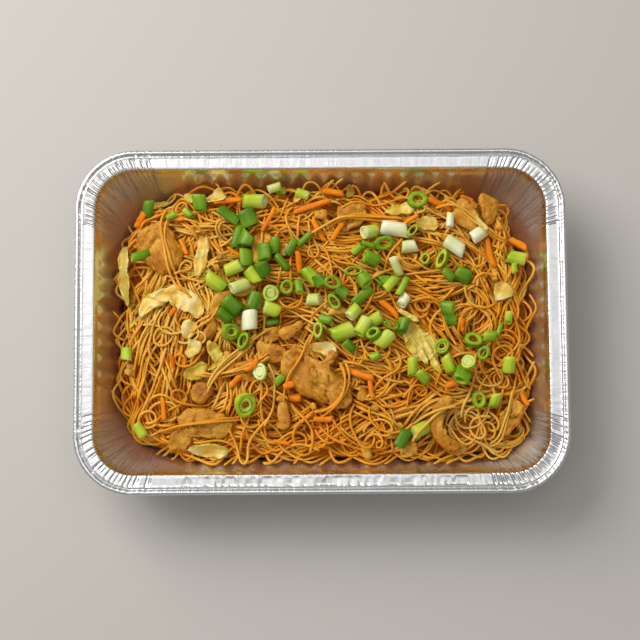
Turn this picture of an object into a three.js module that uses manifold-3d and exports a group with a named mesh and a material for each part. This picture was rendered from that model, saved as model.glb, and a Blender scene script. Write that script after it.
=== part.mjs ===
// Tray of stir-fried noodles: a fluted foil tray, the heap of noodles in it and the toppings on the heap.
// Millimetres, +Z up, origin at the middle of the underside. +X runs along the tray and -Y is the near side.
import * as THREE from 'three';
import { mergeVertices } from 'three/addons/utils/BufferGeometryUtils.js';
import Module from 'manifold-3d';

const wasm = await Module();
wasm.setup();

// Foil tray
const LENGTH = 330;
const WIDTH = 232;
const HEIGHT = 52;
const CORNER = 40; // radius of the rim's outer corners
const FOIL = 0.5;
const FLUTES_LONG = 18;
const FLUTES_SHORT = 9;
const FLUTE_DEPTH = 1; // each way from the middle of the wall
const CORNER_STEPS = 13;
const CORNER_WIDENS = 28; // the wall's corners turn this much wider at its foot than an even inset would make them
const MAIN_EVERY = 20; // on the straight sides the rim has one column for this many of the fluted wall's
const WALL_FOOT = { inset: 29, z: 3 };
const WALL_TOP = { inset: 16.8, z: 44.4 };

// Heap of noodles
const HEAP_HALF_X = 141.4;
const HEAP_HALF_Y = 93.4;
const HEAP_CORNER = 44;
const HEAP_TOP = 35.5;
const HEAP_EDGE_DROP = 2.5;
const HEAP_LEFT_DROP = 5; // how much further it falls at the left end
const HEAP_CORNER_DROP = 10; // and in the corners
const HEAP_SLOPE = 48; // width of the band in which the heap falls to its edge
const HEAP_CELLS_X = 28;
const HEAP_CELLS_Y = 18;
const NEST_DEPTH = 3; // how far a piece of chicken sinks into the heap
const NOODLE_RADIUS = 0.9;
const NOODLE_ZONES_X = 5; // one noodle starts in each zone of the heap, where one fits
const NOODLE_ZONES_Y = 2;
const NOODLE_TRIES = 400;
const NOODLE_SIDES = 4;
const NOODLE_STEP = 5;

// Toppings
const GAP = 0.3; // between things that touch
const LIFT_STEP = 0.3;
const LEAF_THICK = 1;

// Chicken: x, y, length, width, heading, bend over the length (degrees), height
const CHICKEN = [
  [-109, 51, 34, 27, -55, 0, 9],
  [-4, -40, 54, 25, -35, 8, 8],
  [-78, -68, 36, 18, -8, 0, 8],
  [-40, 52, 19, 17, -60, 0, 7],
  [98, 74, 22, 15, 100, 0, 7],
  [114, 77, 19, 13, 80, 0, 7],
  [77, -70, 46, 10, 95, -150, 8],
  [127, -65, 25, 14, 60, 0, 8],
  [22, 73, 22, 17, 20, 0, 6],
  [-81, -47, 17, 14, 60, 0, 7],
  [-20, -6, 18, 9, 35, 20, 7],
  [-63, -28, 18, 10, 100, 40, 7],
  [-25, -62, 20, 8, 95, 45, 7],
];

// Cabbage leaves: x, y, length, width, heading, bend over the length (degrees)
const CABBAGE = [
  [-134, 33, 42, 8, 94, -14],
  [-102, 19, 54, 12, 0, -150],
  [-81, 45, 30, 9, 78, 6],
  [-85, -33, 17, 10, 20, 0],
  [-72, -20, 16, 8, -60, 12],
  [1, -18, 19, 8, -12, 0],
  [65, -12, 33, 17, -50, 10],
  [54, 77, 19, 8, 8, 0],
  [73, 67, 14, 10, 0, 0],
  [122, 20, 14, 12, 60, 0],
  [-76, -86, 27, 8, -4, 0],
  [-72, 86, 16, 8, 15, 0],
];

// Carrot sticks: x, y, length, width, heading, bend over the length (degrees)
const CARROT = [
  [-63, 83, 20, 4, 3, 6],
  [-6, 80, 27, 4, 17, -8],
  [9, 89, 15, 4.6, -12, 8],
  [-2, 63, 19, 4, -63, 10],
  [11, 62, 16, 3.4, 58, -12],
  [81, 81, 19, 4, -24, -10],
  [114, 47, 21, 4, -78, 14],
  [134, 53, 14, 5, -30, 0],
  [47, 9, 18, 4.4, -45, -16],
  [26, -36, 21, 4.6, -22, 6],
  [-15, 41, 16, 4, 95, 10],
];

// Spring onion cut into lengths: x, y, length, diameter, heading
const ONION_LENGTHS = [
  [-45, 83, 15, 9.5, 0],
  [-71, 27, 13, 10, -35],
  [-59, 37, 12, 8.5, 22],
  [-46, 32, 11, 8.5, -55],
  [-6, 31, 13, 8.6, -48],
  [-60, 11, 13, 10, -40],
  [-48, 1, 12, 10.5, 90],
  [-34, 9, 10, 8.6, -20],
  [-5, 15, 9.5, 8.6, 0],
  [15, -7, 16, 10.5, 20],
  [50, 63, 18, 9.4, -8],
  [60, 51, 10, 8.6, 8],
  [91, 51, 14, 9.6, -35],
  [107, 59, 10, 8.6, 35],
  [133, 43, 12, 8, -12],
  [96, 31, 11, 8.4, -20],
  [36, 1, 11, 8.6, 30],
  [66, -73, 11, 9, 25],
];

// Spring onion cut into rings that stand on end: x, y, diameter, height, tilt (degrees)
const ONION_RINGS = [
  [-34, 21, 12, 5, 12],
  [-62, -6, 13, 5, 20],
  [102, -14, 12.5, 5, 18],
  [83, 41, 11, 5, 24],
];

// Small toppings that are one with the heap: x, y, length, width, heading
const SMALL_BITS = [
  [-49, 71, 11, 8, -70],
  [-82, 82, 11, 7, -85],
  [-62, 66, 15, 5, -33],
  [-50, 44, 11, 7, 90],
  [-26, 31, 12, 5, -50],
  [34, 42, 10, 9, -20],
  [29, 29, 9, 8, -60],
  [51, 37, 12, 6, -60],
  [55, -3, 10, 8, 75],
  [85, 8, 9, 8, 0],
  [126, -30, 10, 8, 85],
  [68, -36, 9, 8, -45],
  [85, -30, 12, 8, -70],
  [116, -54, 9, 7, 70],
  [-127, -21, 8, 6, 90],
  [-51, -55, 14, 8, -20],
  [66, 83, 11, 6, 0],
  [43, 51, 10, 6, 60],
  [-106, -58, 15, 4, 95],
  [91, -80, 11, 8, 0],
  [30, -83, 10, 7, 100],
];

// Colours as red, green, blue from 0 to 1
const FOIL_LOOK = { color: [0.86, 0.87, 0.88], roughness: 0.3, metalness: 1 };
const NOODLE_LOOK = { color: [0.8, 0.56, 0.24], roughness: 0.45, metalness: 0 };
const CHICKEN_LOOK = { color: [0.78, 0.55, 0.28], roughness: 0.55, metalness: 0 };
const CABBAGE_LOOK = { color: [0.88, 0.82, 0.54], roughness: 0.4, metalness: 0 };
const CARROT_LOOK = { color: [0.92, 0.45, 0.06], roughness: 0.4, metalness: 0 };
const ONION_LOOK = { color: [0.56, 0.76, 0.2], roughness: 0.4, metalness: 0 };

// A repeatable stream of numbers from 0 to 1
function seeded(seed) {
  let state = seed >>> 0;
  return () => {
    state = (Math.imul(state, 1664525) + 1013904223) >>> 0;
    return state / 4294967296;
  };
}

const random = seeded(20);
const between = (low, high) => low + (high - low) * random();

function mix(a, b, t) {
  return a + (b - a) * t;
}

function smooth(t) {
  const c = Math.min(Math.max(t, 0), 1);
  return c * c * (3 - 2 * c);
}

// A closed geometry from points and triangles, turned so that its faces point outwards
function closedGeometry(points, triangles) {
  let volume = 0;
  for (const [a, b, c] of triangles) {
    volume += points[a].dot(new THREE.Vector3().crossVectors(points[b], points[c]));
  }
  const order = volume < 0 ? triangles.map(([a, b, c]) => [a, c, b]) : triangles;
  const geometry = new THREE.BufferGeometry();
  geometry.setAttribute('position', new THREE.Float32BufferAttribute(points.flatMap((p) => p.toArray()), 3));
  geometry.setIndex(order.flat());
  return geometry;
}

// Joins rings of the same number of points into one skin, with end caps or closed round on itself
function loft(rings, closed = false) {
  const sides = rings[0].length;
  const triangles = [];
  const last = closed ? rings.length : rings.length - 1;
  for (let r = 0; r < last; r += 1) {
    const here = r * sides;
    const next = ((r + 1) % rings.length) * sides;
    for (let s = 0; s < sides; s += 1) {
      const t = (s + 1) % sides;
      triangles.push([here + s, here + t, next + t], [here + s, next + t, next + s]);
    }
  }
  if (!closed) {
    const end = (rings.length - 1) * sides;
    for (let s = 1; s + 1 < sides; s += 1) {
      triangles.push([0, s + 1, s], [end, end + s, end + s + 1]);
    }
  }
  return closedGeometry(rings.flat(), triangles);
}

function toBody(geometry) {
  const bare = new THREE.BufferGeometry();
  bare.setAttribute('position', geometry.getAttribute('position').clone());
  bare.setIndex(geometry.index.clone());
  const merged = mergeVertices(bare, 1e-4);
  return new wasm.Manifold(new wasm.Mesh({
    numProp: 3,
    vertProperties: new Float32Array(merged.getAttribute('position').array),
    triVerts: new Uint32Array(merged.index.array),
  }));
}

function fromBody(body) {
  const mesh = body.getMesh();
  const geometry = new THREE.BufferGeometry();
  geometry.setAttribute('position', new THREE.Float32BufferAttribute(Array.from(mesh.vertProperties), 3));
  geometry.setIndex(Array.from(mesh.triVerts));
  return geometry;
}

function named(name, geometry, look) {
  geometry.computeVertexNormals();
  const material = new THREE.MeshStandardMaterial({
    color: new THREE.Color(...look.color),
    roughness: look.roughness,
    metalness: look.metalness,
  });
  const mesh = new THREE.Mesh(geometry, material);
  mesh.name = name;
  return mesh;
}

// Columns round the tray. A column of a straight side has a point on the tray's spine, the way out from there and
// the flute's wave; one of a corner has the spine's end, the turn of that corner and how far round it lies.
// A main column carries every row of the tray, the others only the fluted wall.
function trayColumns() {
  const spineX = LENGTH / 2 - CORNER - CORNER_WIDENS;
  const spineY = WIDTH / 2 - CORNER - CORNER_WIDENS;
  const columns = [];
  const corner = (x, y, turn) => {
    for (let s = 0; s <= CORNER_STEPS; s += 1) {
      columns.push({ x, y, turn, round: s / CORNER_STEPS, main: true });
    }
  };
  const side = (from, to, turn, flutes) => {
    const steps = flutes * 4;
    for (let s = 0; s < steps; s += 1) {
      const t = (s + 0.5) / steps;
      columns.push({
        x: mix(from[0], to[0], t),
        y: mix(from[1], to[1], t),
        turn,
        wave: s % 4 < 2 ? 1 : -1,
        main: s % MAIN_EVERY === MAIN_EVERY / 2,
      });
    }
  };
  const ends = [[spineX, spineY], [-spineX, spineY], [-spineX, -spineY], [spineX, -spineY]];
  ends.forEach((end, n) => {
    side(ends[(n + 3) % 4], end, n * (Math.PI / 2), n % 2 === 0 ? FLUTES_SHORT : FLUTES_LONG);
    corner(...end, n * (Math.PI / 2));
  });
  return columns;
}

// A place in the first corner of a row, from the spine's end: along one side, round the turn, along the next
function cornerPlace(round, reach, wide) {
  const straight = CORNER_WIDENS - wide;
  const radius = reach + wide;
  const arc = radius * (Math.PI / 2);
  const d = round * (2 * straight + arc);
  if (d <= straight) {
    return [straight + radius, d];
  }
  if (d >= straight + arc) {
    return [2 * straight + arc - d, straight + radius];
  }
  return [straight + radius * Math.cos((d - straight) / radius), straight + radius * Math.sin((d - straight) / radius)];
}

// The tray's skin as rows of [inset from the rim's edge, height, flute depth]: up the inside, over the rim's
// bead, and down the outside
function trayRows() {
  const lip = HEIGHT - 0.5;
  return [
    [31, FOIL, 0],
    [WALL_FOOT.inset, WALL_FOOT.z, FLUTE_DEPTH * 0.6],
    [WALL_TOP.inset, WALL_TOP.z, FLUTE_DEPTH],
    [15.2, 45.2, 0],
    [13.8, lip - 0.7, 0],
    [12.6, lip, 0],
    [5.2, lip, 0],
    [4.4, lip - 0.9, 0],
    [3.4, HEIGHT - 0.8, 0],
    [1.8, HEIGHT, 0],
    [0.3, HEIGHT - 0.8, 0],
    [0, HEIGHT - 2, 0],
    [0.8, HEIGHT - 3.3, 0],
    [2.4, HEIGHT - 3.6, 0],
    [5.2, lip - FOIL, 0],
    [12.2, lip - FOIL, 0],
    [13.2, lip - FOIL - 0.7, 0],
    [14.7, 44.7, 0],
    [WALL_TOP.inset - FOIL, WALL_TOP.z - FOIL, FLUTE_DEPTH],
    [WALL_FOOT.inset - FOIL, WALL_FOOT.z - FOIL, FLUTE_DEPTH * 0.6],
    [31, 0, 0],
  ];
}

// Triangles between two rows whose columns may differ, walking both rows round the tray together
function joinRows(a, b, total) {
  const triangles = [];
  let i = 0;
  let j = 0;
  const key = (row, n) => row.keys[n % row.keys.length] + (n >= row.keys.length ? total : 0);
  const id = (row, n) => row.start + (n % row.keys.length);
  while (i < a.keys.length || j < b.keys.length) {
    const stepA = j >= b.keys.length || (i < a.keys.length && key(a, i + 1) <= key(b, j + 1));
    if (stepA) {
      triangles.push([id(a, i), id(a, i + 1), id(b, j)]);
      i += 1;
    } else {
      triangles.push([id(a, i), id(b, j + 1), id(b, j)]);
      j += 1;
    }
  }
  return triangles;
}

function foilTray() {
  const columns = trayColumns();
  const points = [];
  const rows = trayRows().map(([inset, z, depth]) => {
    const row = { start: points.length, keys: [] };
    const down = (WALL_TOP.z - z) / (WALL_TOP.z - WALL_FOOT.z);
    const wide = CORNER_WIDENS * Math.min(Math.max(down, 0), 1);
    const reach = CORNER - inset;
    columns.forEach((column, key) => {
      if (depth === 0 && !column.main) {
        return;
      }
      const [a, b] = column.wave === undefined
        ? cornerPlace(column.round, reach, wide)
        : [CORNER_WIDENS + reach + column.wave * depth, 0];
      const cos = Math.cos(column.turn);
      const sin = Math.sin(column.turn);
      points.push(new THREE.Vector3(column.x + a * cos - b * sin, column.y + a * sin + b * cos, z));
      row.keys.push(key);
    });
    return row;
  });
  const triangles = [];
  for (let r = 0; r + 1 < rows.length; r += 1) {
    triangles.push(...joinRows(rows[r], rows[r + 1], columns.length));
  }
  const fan = (row, z, flip) => {
    const middle = points.push(new THREE.Vector3(0, 0, z)) - 1;
    row.keys.forEach((_, n) => {
      const here = row.start + n;
      const next = row.start + ((n + 1) % row.keys.length);
      triangles.push(flip ? [middle, next, here] : [middle, here, next]);
    });
  };
  fan(rows[0], FOIL, true);
  fan(rows[rows.length - 1], 0, false);
  return closedGeometry(points, triangles);
}

// Distance inside the heap's outline, less than 0 outside it
function depthInHeap(x, y) {
  const dx = Math.abs(x) - (HEAP_HALF_X - HEAP_CORNER);
  const dy = Math.abs(y) - (HEAP_HALF_Y - HEAP_CORNER);
  const outside = Math.hypot(Math.max(dx, 0), Math.max(dy, 0));
  return HEAP_CORNER - outside - Math.min(Math.max(dx, dy), 0);
}

// How far the chicken's nests lower the heap at a place
function nestDepth(x, y) {
  let deepest = 0;
  for (const [cx, cy, length, width, heading] of CHICKEN) {
    const turn = THREE.MathUtils.degToRad(heading);
    const along = (x - cx) * Math.cos(turn) + (y - cy) * Math.sin(turn);
    const across = (y - cy) * Math.cos(turn) - (x - cx) * Math.sin(turn);
    const reach = Math.hypot(along / (length / 2 + 7), across / (width / 2 + 7));
    deepest = Math.max(deepest, smooth((1.25 - reach) / 0.5));
  }
  return deepest * NEST_DEPTH;
}

function heapHeight(x, y) {
  const rise = Math.min(Math.max(depthInHeap(x, y), 0) / HEAP_SLOPE, 1);
  const left = smooth(-2 * x / HEAP_HALF_X - 1);
  const corner = smooth(3 * Math.abs(x) / HEAP_HALF_X - 2) * smooth(2 * Math.abs(y) / HEAP_HALF_Y - 1);
  const drop = HEAP_EDGE_DROP + HEAP_LEFT_DROP * left + HEAP_CORNER_DROP * corner;
  const broad = 1.1 * Math.sin(x / 17 + 0.6) * Math.cos(y / 15 - 0.4);
  const fine = 0.7 * Math.sin(x / 9.5 - y / 13 + 1.9);
  return HEAP_TOP - drop * (1 - rise) ** 2 + broad + fine - nestDepth(x, y);
}

// A place on the edge of the unit square laid onto a rounded rectangle
function onOutline(s, t, halfX, halfY, corner) {
  const x = s * halfX;
  const y = t * halfY;
  const cx = Math.sign(x) * (halfX - corner);
  const cy = Math.sign(y) * (halfY - corner);
  if (Math.abs(x) <= Math.abs(cx) || Math.abs(y) <= Math.abs(cy)) {
    return [x, y];
  }
  const reach = Math.hypot(x - cx, y - cy);
  return [cx + ((x - cx) / reach) * corner, cy + ((y - cy) / reach) * corner];
}

// The solid heap without any noodle on it: a grid laid over its outline, with sides down to the tray's floor
function heapCore() {
  const points = [];
  const triangles = [];
  const wide = HEAP_CELLS_X + 1;
  for (let j = 0; j <= HEAP_CELLS_Y; j += 1) {
    for (let i = 0; i <= HEAP_CELLS_X; i += 1) {
      const s = (2 * i) / HEAP_CELLS_X - 1;
      const t = (2 * j) / HEAP_CELLS_Y - 1;
      const reach = Math.max(Math.abs(s), Math.abs(t), 1e-9);
      const [ex, ey] = onOutline(s / reach, t / reach, HEAP_HALF_X, HEAP_HALF_Y, HEAP_CORNER);
      points.push(new THREE.Vector3(ex * reach, ey * reach, heapHeight(ex * reach, ey * reach)));
    }
  }
  for (let j = 0; j < HEAP_CELLS_Y; j += 1) {
    for (let i = 0; i < HEAP_CELLS_X; i += 1) {
      const a = j * wide + i;
      triangles.push([a, a + 1, a + wide + 1], [a, a + wide + 1, a + wide]);
    }
  }
  const edge = [];
  for (let i = 0; i < HEAP_CELLS_X; i += 1) {
    edge.push([i, 0]);
  }
  for (let j = 0; j < HEAP_CELLS_Y; j += 1) {
    edge.push([HEAP_CELLS_X, j]);
  }
  for (let i = HEAP_CELLS_X; i > 0; i -= 1) {
    edge.push([i, HEAP_CELLS_Y]);
  }
  for (let j = HEAP_CELLS_Y; j > 0; j -= 1) {
    edge.push([0, j]);
  }
  let upper = edge.map(([i, j]) => j * wide + i);
  for (const [shrink, z] of [[8, 3.4], [10.5, FOIL + GAP]]) {
    const lower = edge.map(([i, j]) => {
      const s = (2 * i) / HEAP_CELLS_X - 1;
      const t = (2 * j) / HEAP_CELLS_Y - 1;
      const [x, y] = onOutline(s, t, HEAP_HALF_X - shrink, HEAP_HALF_Y - shrink, HEAP_CORNER - shrink);
      return points.push(new THREE.Vector3(x, y, z)) - 1;
    });
    upper.forEach((here, n) => {
      const m = (n + 1) % edge.length;
      triangles.push([here, lower[n], lower[m]], [here, lower[m], upper[m]]);
    });
    upper = lower;
  }
  const middle = points.push(new THREE.Vector3(0, 0, FOIL + GAP)) - 1;
  upper.forEach((here, n) => triangles.push([here, middle, upper[(n + 1) % edge.length]]));
  return closedGeometry(points, triangles);
}

// Points along a bent bar that lies along X with its middle at the origin, with the bar's sideways direction
function bentBar(length, bend, steps) {
  const turn = THREE.MathUtils.degToRad(bend);
  const spots = [];
  for (let n = 0; n <= steps; n += 1) {
    const s = (n / steps - 0.5) * length;
    const angle = (s / length) * turn;
    const radius = Math.abs(turn) < 1e-3 ? 0 : length / turn;
    const x = radius === 0 ? s : radius * Math.sin(angle);
    const y = radius === 0 ? 0 : radius * (1 - Math.cos(angle));
    spots.push({ x, y, sideX: -Math.sin(angle), sideY: Math.cos(angle), t: n / steps });
  }
  return spots;
}

// A ring of points across a bar, from pairs of [sideways, up]
function barRing(spot, section) {
  return section.map(([side, up]) => new THREE.Vector3(spot.x + spot.sideX * side, spot.y + spot.sideY * side, up));
}

function chickenPiece([, , length, width, , bend, height]) {
  const steps = 5;
  const sides = 7;
  const lean = between(-0.2, 0.2);
  const rings = bentBar(length, bend, steps).map((spot) => {
    const taper = Math.sqrt(Math.max(1 - (1.9 * spot.t - 0.95) ** 2, 0)) * between(0.86, 1.1);
    const section = [];
    for (let s = 0; s < sides; s += 1) {
      const angle = ((s + 0.5) / sides) * Math.PI * 2 - Math.PI / 2;
      const up = Math.sin(angle) * (Math.sin(angle) < 0 ? 0.32 : 0.6) * height * mix(taper, 1, 0.25);
      section.push([(Math.cos(angle) * taper + lean * (1 - taper)) * (width / 2) * between(0.9, 1.06), up]);
    }
    return barRing(spot, section);
  });
  return loft(rings);
}

function carrotStick([, , length, width, , bend]) {
  const half = width / 2;
  const rings = bentBar(length, bend, 3).map((spot) => {
    const slim = spot.t < 0.01 || spot.t > 0.99 ? 0.62 : 1;
    return barRing(spot, [[half * slim, 0], [half * slim, width * 0.8 * slim], [-half * slim, width * 0.8 * slim],
      [-half * slim, 0]]);
  });
  return loft(rings);
}

function circle(radius, sides, at) {
  const ring = [];
  for (let s = 0; s < sides; s += 1) {
    const angle = ((s + 0.5) / sides) * Math.PI * 2;
    ring.push(at(radius * Math.cos(angle), radius * Math.sin(angle)));
  }
  return ring;
}

// A cut length of spring onion lying along X, with hollowed ends
function onionLength([, , length, diameter]) {
  const radius = diameter / 2;
  const along = (r, x) => circle(r, 8, (a, b) => new THREE.Vector3(x, a, b));
  const end = length / 2;
  return loft([along(radius * 0.55, 0.9 - end), along(radius, -end), along(radius, end), along(radius * 0.55, end - 0.9)]);
}

// A ring of spring onion standing on end
function onionRing([, , diameter, height]) {
  const radius = diameter / 2;
  const level = (r, z) => circle(r, 9, (a, b) => new THREE.Vector3(a, b * 0.86, z));
  return loft([level(radius * 0.55, 0.2), level(radius * 0.95, 0), level(radius, height),
    level(radius * 0.62, height - 0.2)], true);
}

// A leaf laid over the heap: a thin wavy sheet whose two faces are split alike
function cabbageLeaf([x, y, length, width, heading, bend]) {
  const steps = 7;
  const strips = 2;
  const turn = THREE.MathUtils.degToRad(heading);
  const phase = between(0, 6);
  const upper = [];
  const lower = [];
  for (const spot of bentBar(length, bend, steps)) {
    const half = (width / 2) * mix(0.62, 1, Math.sin(Math.PI * mix(0.12, 0.88, spot.t)));
    for (let k = 0; k <= strips; k += 1) {
      const side = mix(-half, half, k / strips);
      const px = spot.x + spot.sideX * side;
      const py = spot.y + spot.sideY * side;
      const wx = x + px * Math.cos(turn) - py * Math.sin(turn);
      const wy = y + px * Math.sin(turn) + py * Math.cos(turn);
      const wave = 0.9 + 0.7 * Math.sin(spot.t * 9 + phase + k * 1.1) + 0.8 * Math.abs(k / strips - 0.5);
      const z = heapHeight(wx, wy) + GAP + wave;
      lower.push(new THREE.Vector3(wx, wy, z));
      upper.push(new THREE.Vector3(wx, wy, z + LEAF_THICK));
    }
  }
  const wide = strips + 1;
  const count = upper.length;
  const triangles = [];
  for (let n = 0; n < steps; n += 1) {
    for (let k = 0; k < strips; k += 1) {
      const a = n * wide + k;
      const [b, c, d] = [a + 1, a + wide, a + wide + 1];
      triangles.push([a, c, b], [b, c, d], [count + a, count + b, count + c], [count + b, count + d, count + c]);
    }
  }
  const rim = [];
  for (let n = 0; n < steps; n += 1) {
    rim.push(n * wide);
  }
  for (let k = 0; k < strips; k += 1) {
    rim.push(steps * wide + k);
  }
  for (let n = steps; n > 0; n -= 1) {
    rim.push(n * wide + strips);
  }
  for (let k = strips; k > 0; k -= 1) {
    rim.push(k);
  }
  rim.forEach((a, n) => {
    const b = rim[(n + 1) % rim.length];
    triangles.push([b, a, count + a], [b, count + a, count + b]);
  });
  return closedGeometry([...lower, ...upper], triangles);
}

// Turns a piece to its heading, leans it with the heap and sets it at its place, sunk a little below the surface
function lay(geometry, x, y, heading, sink, tilt = 0) {
  const reach = 4;
  const slopeX = (heapHeight(x + reach, y) - heapHeight(x - reach, y)) / (2 * reach);
  const slopeY = (heapHeight(x, y + reach) - heapHeight(x, y - reach)) / (2 * reach);
  const up = new THREE.Vector3(-slopeX, -slopeY, 1).normalize();
  const lean = new THREE.Quaternion().setFromUnitVectors(new THREE.Vector3(0, 0, 1), up);
  const turn = THREE.MathUtils.degToRad(heading);
  geometry.rotateX(THREE.MathUtils.degToRad(tilt));
  geometry.rotateZ(turn);
  geometry.applyQuaternion(lean);
  geometry.computeBoundingBox();
  geometry.translate(x, y, heapHeight(x, y) - geometry.boundingBox.min.z - sink);
  return geometry;
}

function boxesMeet(a, b) {
  const boxA = a.boundingBox();
  const boxB = b.boundingBox();
  return [0, 1, 2].every((n) => boxA.min[n] < boxB.max[n] && boxB.min[n] < boxA.max[n]);
}

function crosses(body, others) {
  return others.some((other) => boxesMeet(body, other) && body.intersect(other).volume() > 1e-5);
}

// Raises a piece until it clears everything below it, and leaves the gap
function settle(geometry, others) {
  const body = toBody(geometry);
  let lift = 0;
  while (crosses(body.translate([0, 0, lift]), others)) {
    lift += LIFT_STEP;
  }
  return geometry.translate(0, 0, lift + GAP);
}

// The toppings, each laid on the bare heap and clear of those placed before it
function layToppings(core) {
  const placed = [];
  const nodes = [];
  const add = (kind, number, geometry, look) => {
    settle(geometry, [core, ...placed]);
    placed.push(toBody(geometry));
    nodes.push(named(`${kind}_${String(number + 1).padStart(2, '0')}`, geometry, look));
  };
  CHICKEN.forEach((row, n) => add('chicken', n, lay(chickenPiece(row), row[0], row[1], row[4], 1), CHICKEN_LOOK));
  CABBAGE.forEach((row, n) => add('cabbage', n, cabbageLeaf(row), CABBAGE_LOOK));
  CARROT.forEach((row, n) => add('carrot', n, lay(carrotStick(row), row[0], row[1], row[4], 0.6), CARROT_LOOK));
  ONION_LENGTHS.forEach((row, n) => {
    add('onion_length', n, lay(onionLength(row), row[0], row[1], row[4], 0.6), ONION_LOOK);
  });
  ONION_RINGS.forEach((row, n) => {
    add('onion_ring', n, lay(onionRing(row), row[0], row[1], n * 80, 0.6, row[4]), ONION_LOOK);
  });
  return { nodes, bodies: placed };
}

// One noodle that starts in a zone and wanders over the heap, half sunk into it
function noodle(radius, zoneX, zoneY) {
  const length = between(90, 160);
  let x = HEAP_HALF_X * (2 * (zoneX + random()) / NOODLE_ZONES_X - 1);
  let y = HEAP_HALF_Y * (2 * (zoneY + random()) / NOODLE_ZONES_Y - 1);
  let heading = between(0, Math.PI * 2);
  const curl = between(-0.05, 0.05);
  const sway = between(0.01, 0.04);
  const phase = between(0, 6);
  const spots = [];
  for (let s = 0; s <= length; s += NOODLE_STEP) {
    spots.push({ x, y, heading });
    heading += (curl + sway * Math.sin(s / 14 + phase)) * NOODLE_STEP;
    x += Math.cos(heading) * NOODLE_STEP;
    y += Math.sin(heading) * NOODLE_STEP;
  }
  if (spots.some((spot) => depthInHeap(spot.x, spot.y) < 4)) {
    return null;
  }
  return (thick) => loft(spots.map((spot) => circle(radius + thick, NOODLE_SIDES, (a, b) => new THREE.Vector3(
    spot.x - Math.sin(spot.heading) * a,
    spot.y + Math.cos(spot.heading) * a,
    heapHeight(spot.x, spot.y) + radius * 0.5 + b,
  ))));
}

// A small topping sunk to half its height, as a rounded bar with few sides
function smallBit([x, y, length, width, heading], thick) {
  const half = width / 2 + thick;
  const section = circle(half, 5, (a, b) => [a, b * 0.8]);
  const rings = bentBar(length + 2 * thick, 0, 1).map((spot) => barRing(spot, section));
  return lay(loft(rings), x, y, heading, half * 0.7);
}

// The heap with the noodles and small bits that show fused on, clear of every topping
function noodleHeap(core, toppings) {
  let heap = core;
  for (const row of SMALL_BITS) {
    if (!crosses(toBody(smallBit(row, GAP)), toppings)) {
      heap = heap.add(toBody(smallBit(row, 0)));
    }
  }
  for (let zone = 0; zone < NOODLE_ZONES_X * NOODLE_ZONES_Y; zone += 1) {
    for (let tries = 0; tries < NOODLE_TRIES; tries += 1) {
      const strand = noodle(NOODLE_RADIUS, zone % NOODLE_ZONES_X, Math.floor(zone / NOODLE_ZONES_X));
      if (strand && !crosses(toBody(strand(GAP)), toppings)) {
        heap = heap.add(toBody(strand(0)));
        break;
      }
    }
  }
  return fromBody(heap.simplify(0.01));
}

const tray = new THREE.Group();
tray.name = 'noodle_tray';
tray.add(named('tray', foilTray(), FOIL_LOOK));
const core = toBody(heapCore());
const toppings = layToppings(core);
tray.add(named('noodles', noodleHeap(core, toppings.bodies), NOODLE_LOOK));
tray.add(...toppings.nodes);

export default tray;
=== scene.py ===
"""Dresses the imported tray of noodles: creased foil, noodles laid strand by strand, and cut toppings."""
import math

import bpy
import numpy as np
from mathutils import Matrix, Vector

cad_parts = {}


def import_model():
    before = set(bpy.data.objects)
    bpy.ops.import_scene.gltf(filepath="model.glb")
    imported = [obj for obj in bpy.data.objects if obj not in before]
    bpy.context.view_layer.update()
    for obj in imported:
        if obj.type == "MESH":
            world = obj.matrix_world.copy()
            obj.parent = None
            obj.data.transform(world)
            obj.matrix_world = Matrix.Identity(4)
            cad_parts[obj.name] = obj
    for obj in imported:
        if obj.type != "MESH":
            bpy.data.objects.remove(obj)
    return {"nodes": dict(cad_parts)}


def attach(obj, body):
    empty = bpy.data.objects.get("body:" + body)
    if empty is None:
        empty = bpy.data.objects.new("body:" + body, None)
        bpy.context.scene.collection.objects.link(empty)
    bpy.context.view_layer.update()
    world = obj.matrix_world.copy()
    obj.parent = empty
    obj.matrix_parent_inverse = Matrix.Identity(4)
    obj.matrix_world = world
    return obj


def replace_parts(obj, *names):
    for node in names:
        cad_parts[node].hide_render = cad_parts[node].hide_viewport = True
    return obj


MM = 0.001
rng = np.random.default_rng(11)

# Tray, in millimetres, as in the solids: a place on its wall is an inset from the edge and a height
LENGTH = 330
WIDTH = 232
HEIGHT = 52
CORNER = 40
CORNER_WIDENS = 28
FOIL = 0.5
FLUTES_LONG = 18
FLUTES_SHORT = 9
FLUTE_DEPTH = 1.0
WALL_FOOT = (29.2, 2.6)
WALL_TOP = (16.9, 43.6)

# The foil's skin from the floor to the rolled edge, and back down outside: inset, height, steps to the next
# row, and share of the flutes at the start and at the end of these steps
INNER_SKIN = [
    (36, FOIL, 2, 0, 0),
    (32, FOIL, 3, 0, 0.5),
    (*WALL_FOOT, 12, 0.6, 1),
    (*WALL_TOP, 4, 1, 0),
    (15.4, 46.2, 4, 0, 0),
    (13.7, 50.4, 3, 0, 0),
    (13.1, 51.3, 3, 0, 0),
    (12.0, 51.6, 6, 0, 0),
    (5.7, 51.4, 2, 0, 0),
    (5.1, 51.7, 3, 0, 0),
    (4.5, 50.5, 2, 0, 0),
    (3.5, 50.6, 0, 0, 0),
]
OUTER_SKIN = [
    (2.6, 48.7, 2, 0, 0),
    (5.4, 50.8, 3, 0, 0),
    (12.0, 51.0, 2, 0, 0),
    (12.9, 50.3, 3, 0, 0),
    (14.9, 45.8, 3, 0, 1),
    (16.5, 42.8, 7, 1, 0.6),
    (28.8, 2.2, 2, 0.5, 0),
    (32, 0, 2, 0, 0),
    (36, 0, 0, 0, 0),
]

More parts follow.
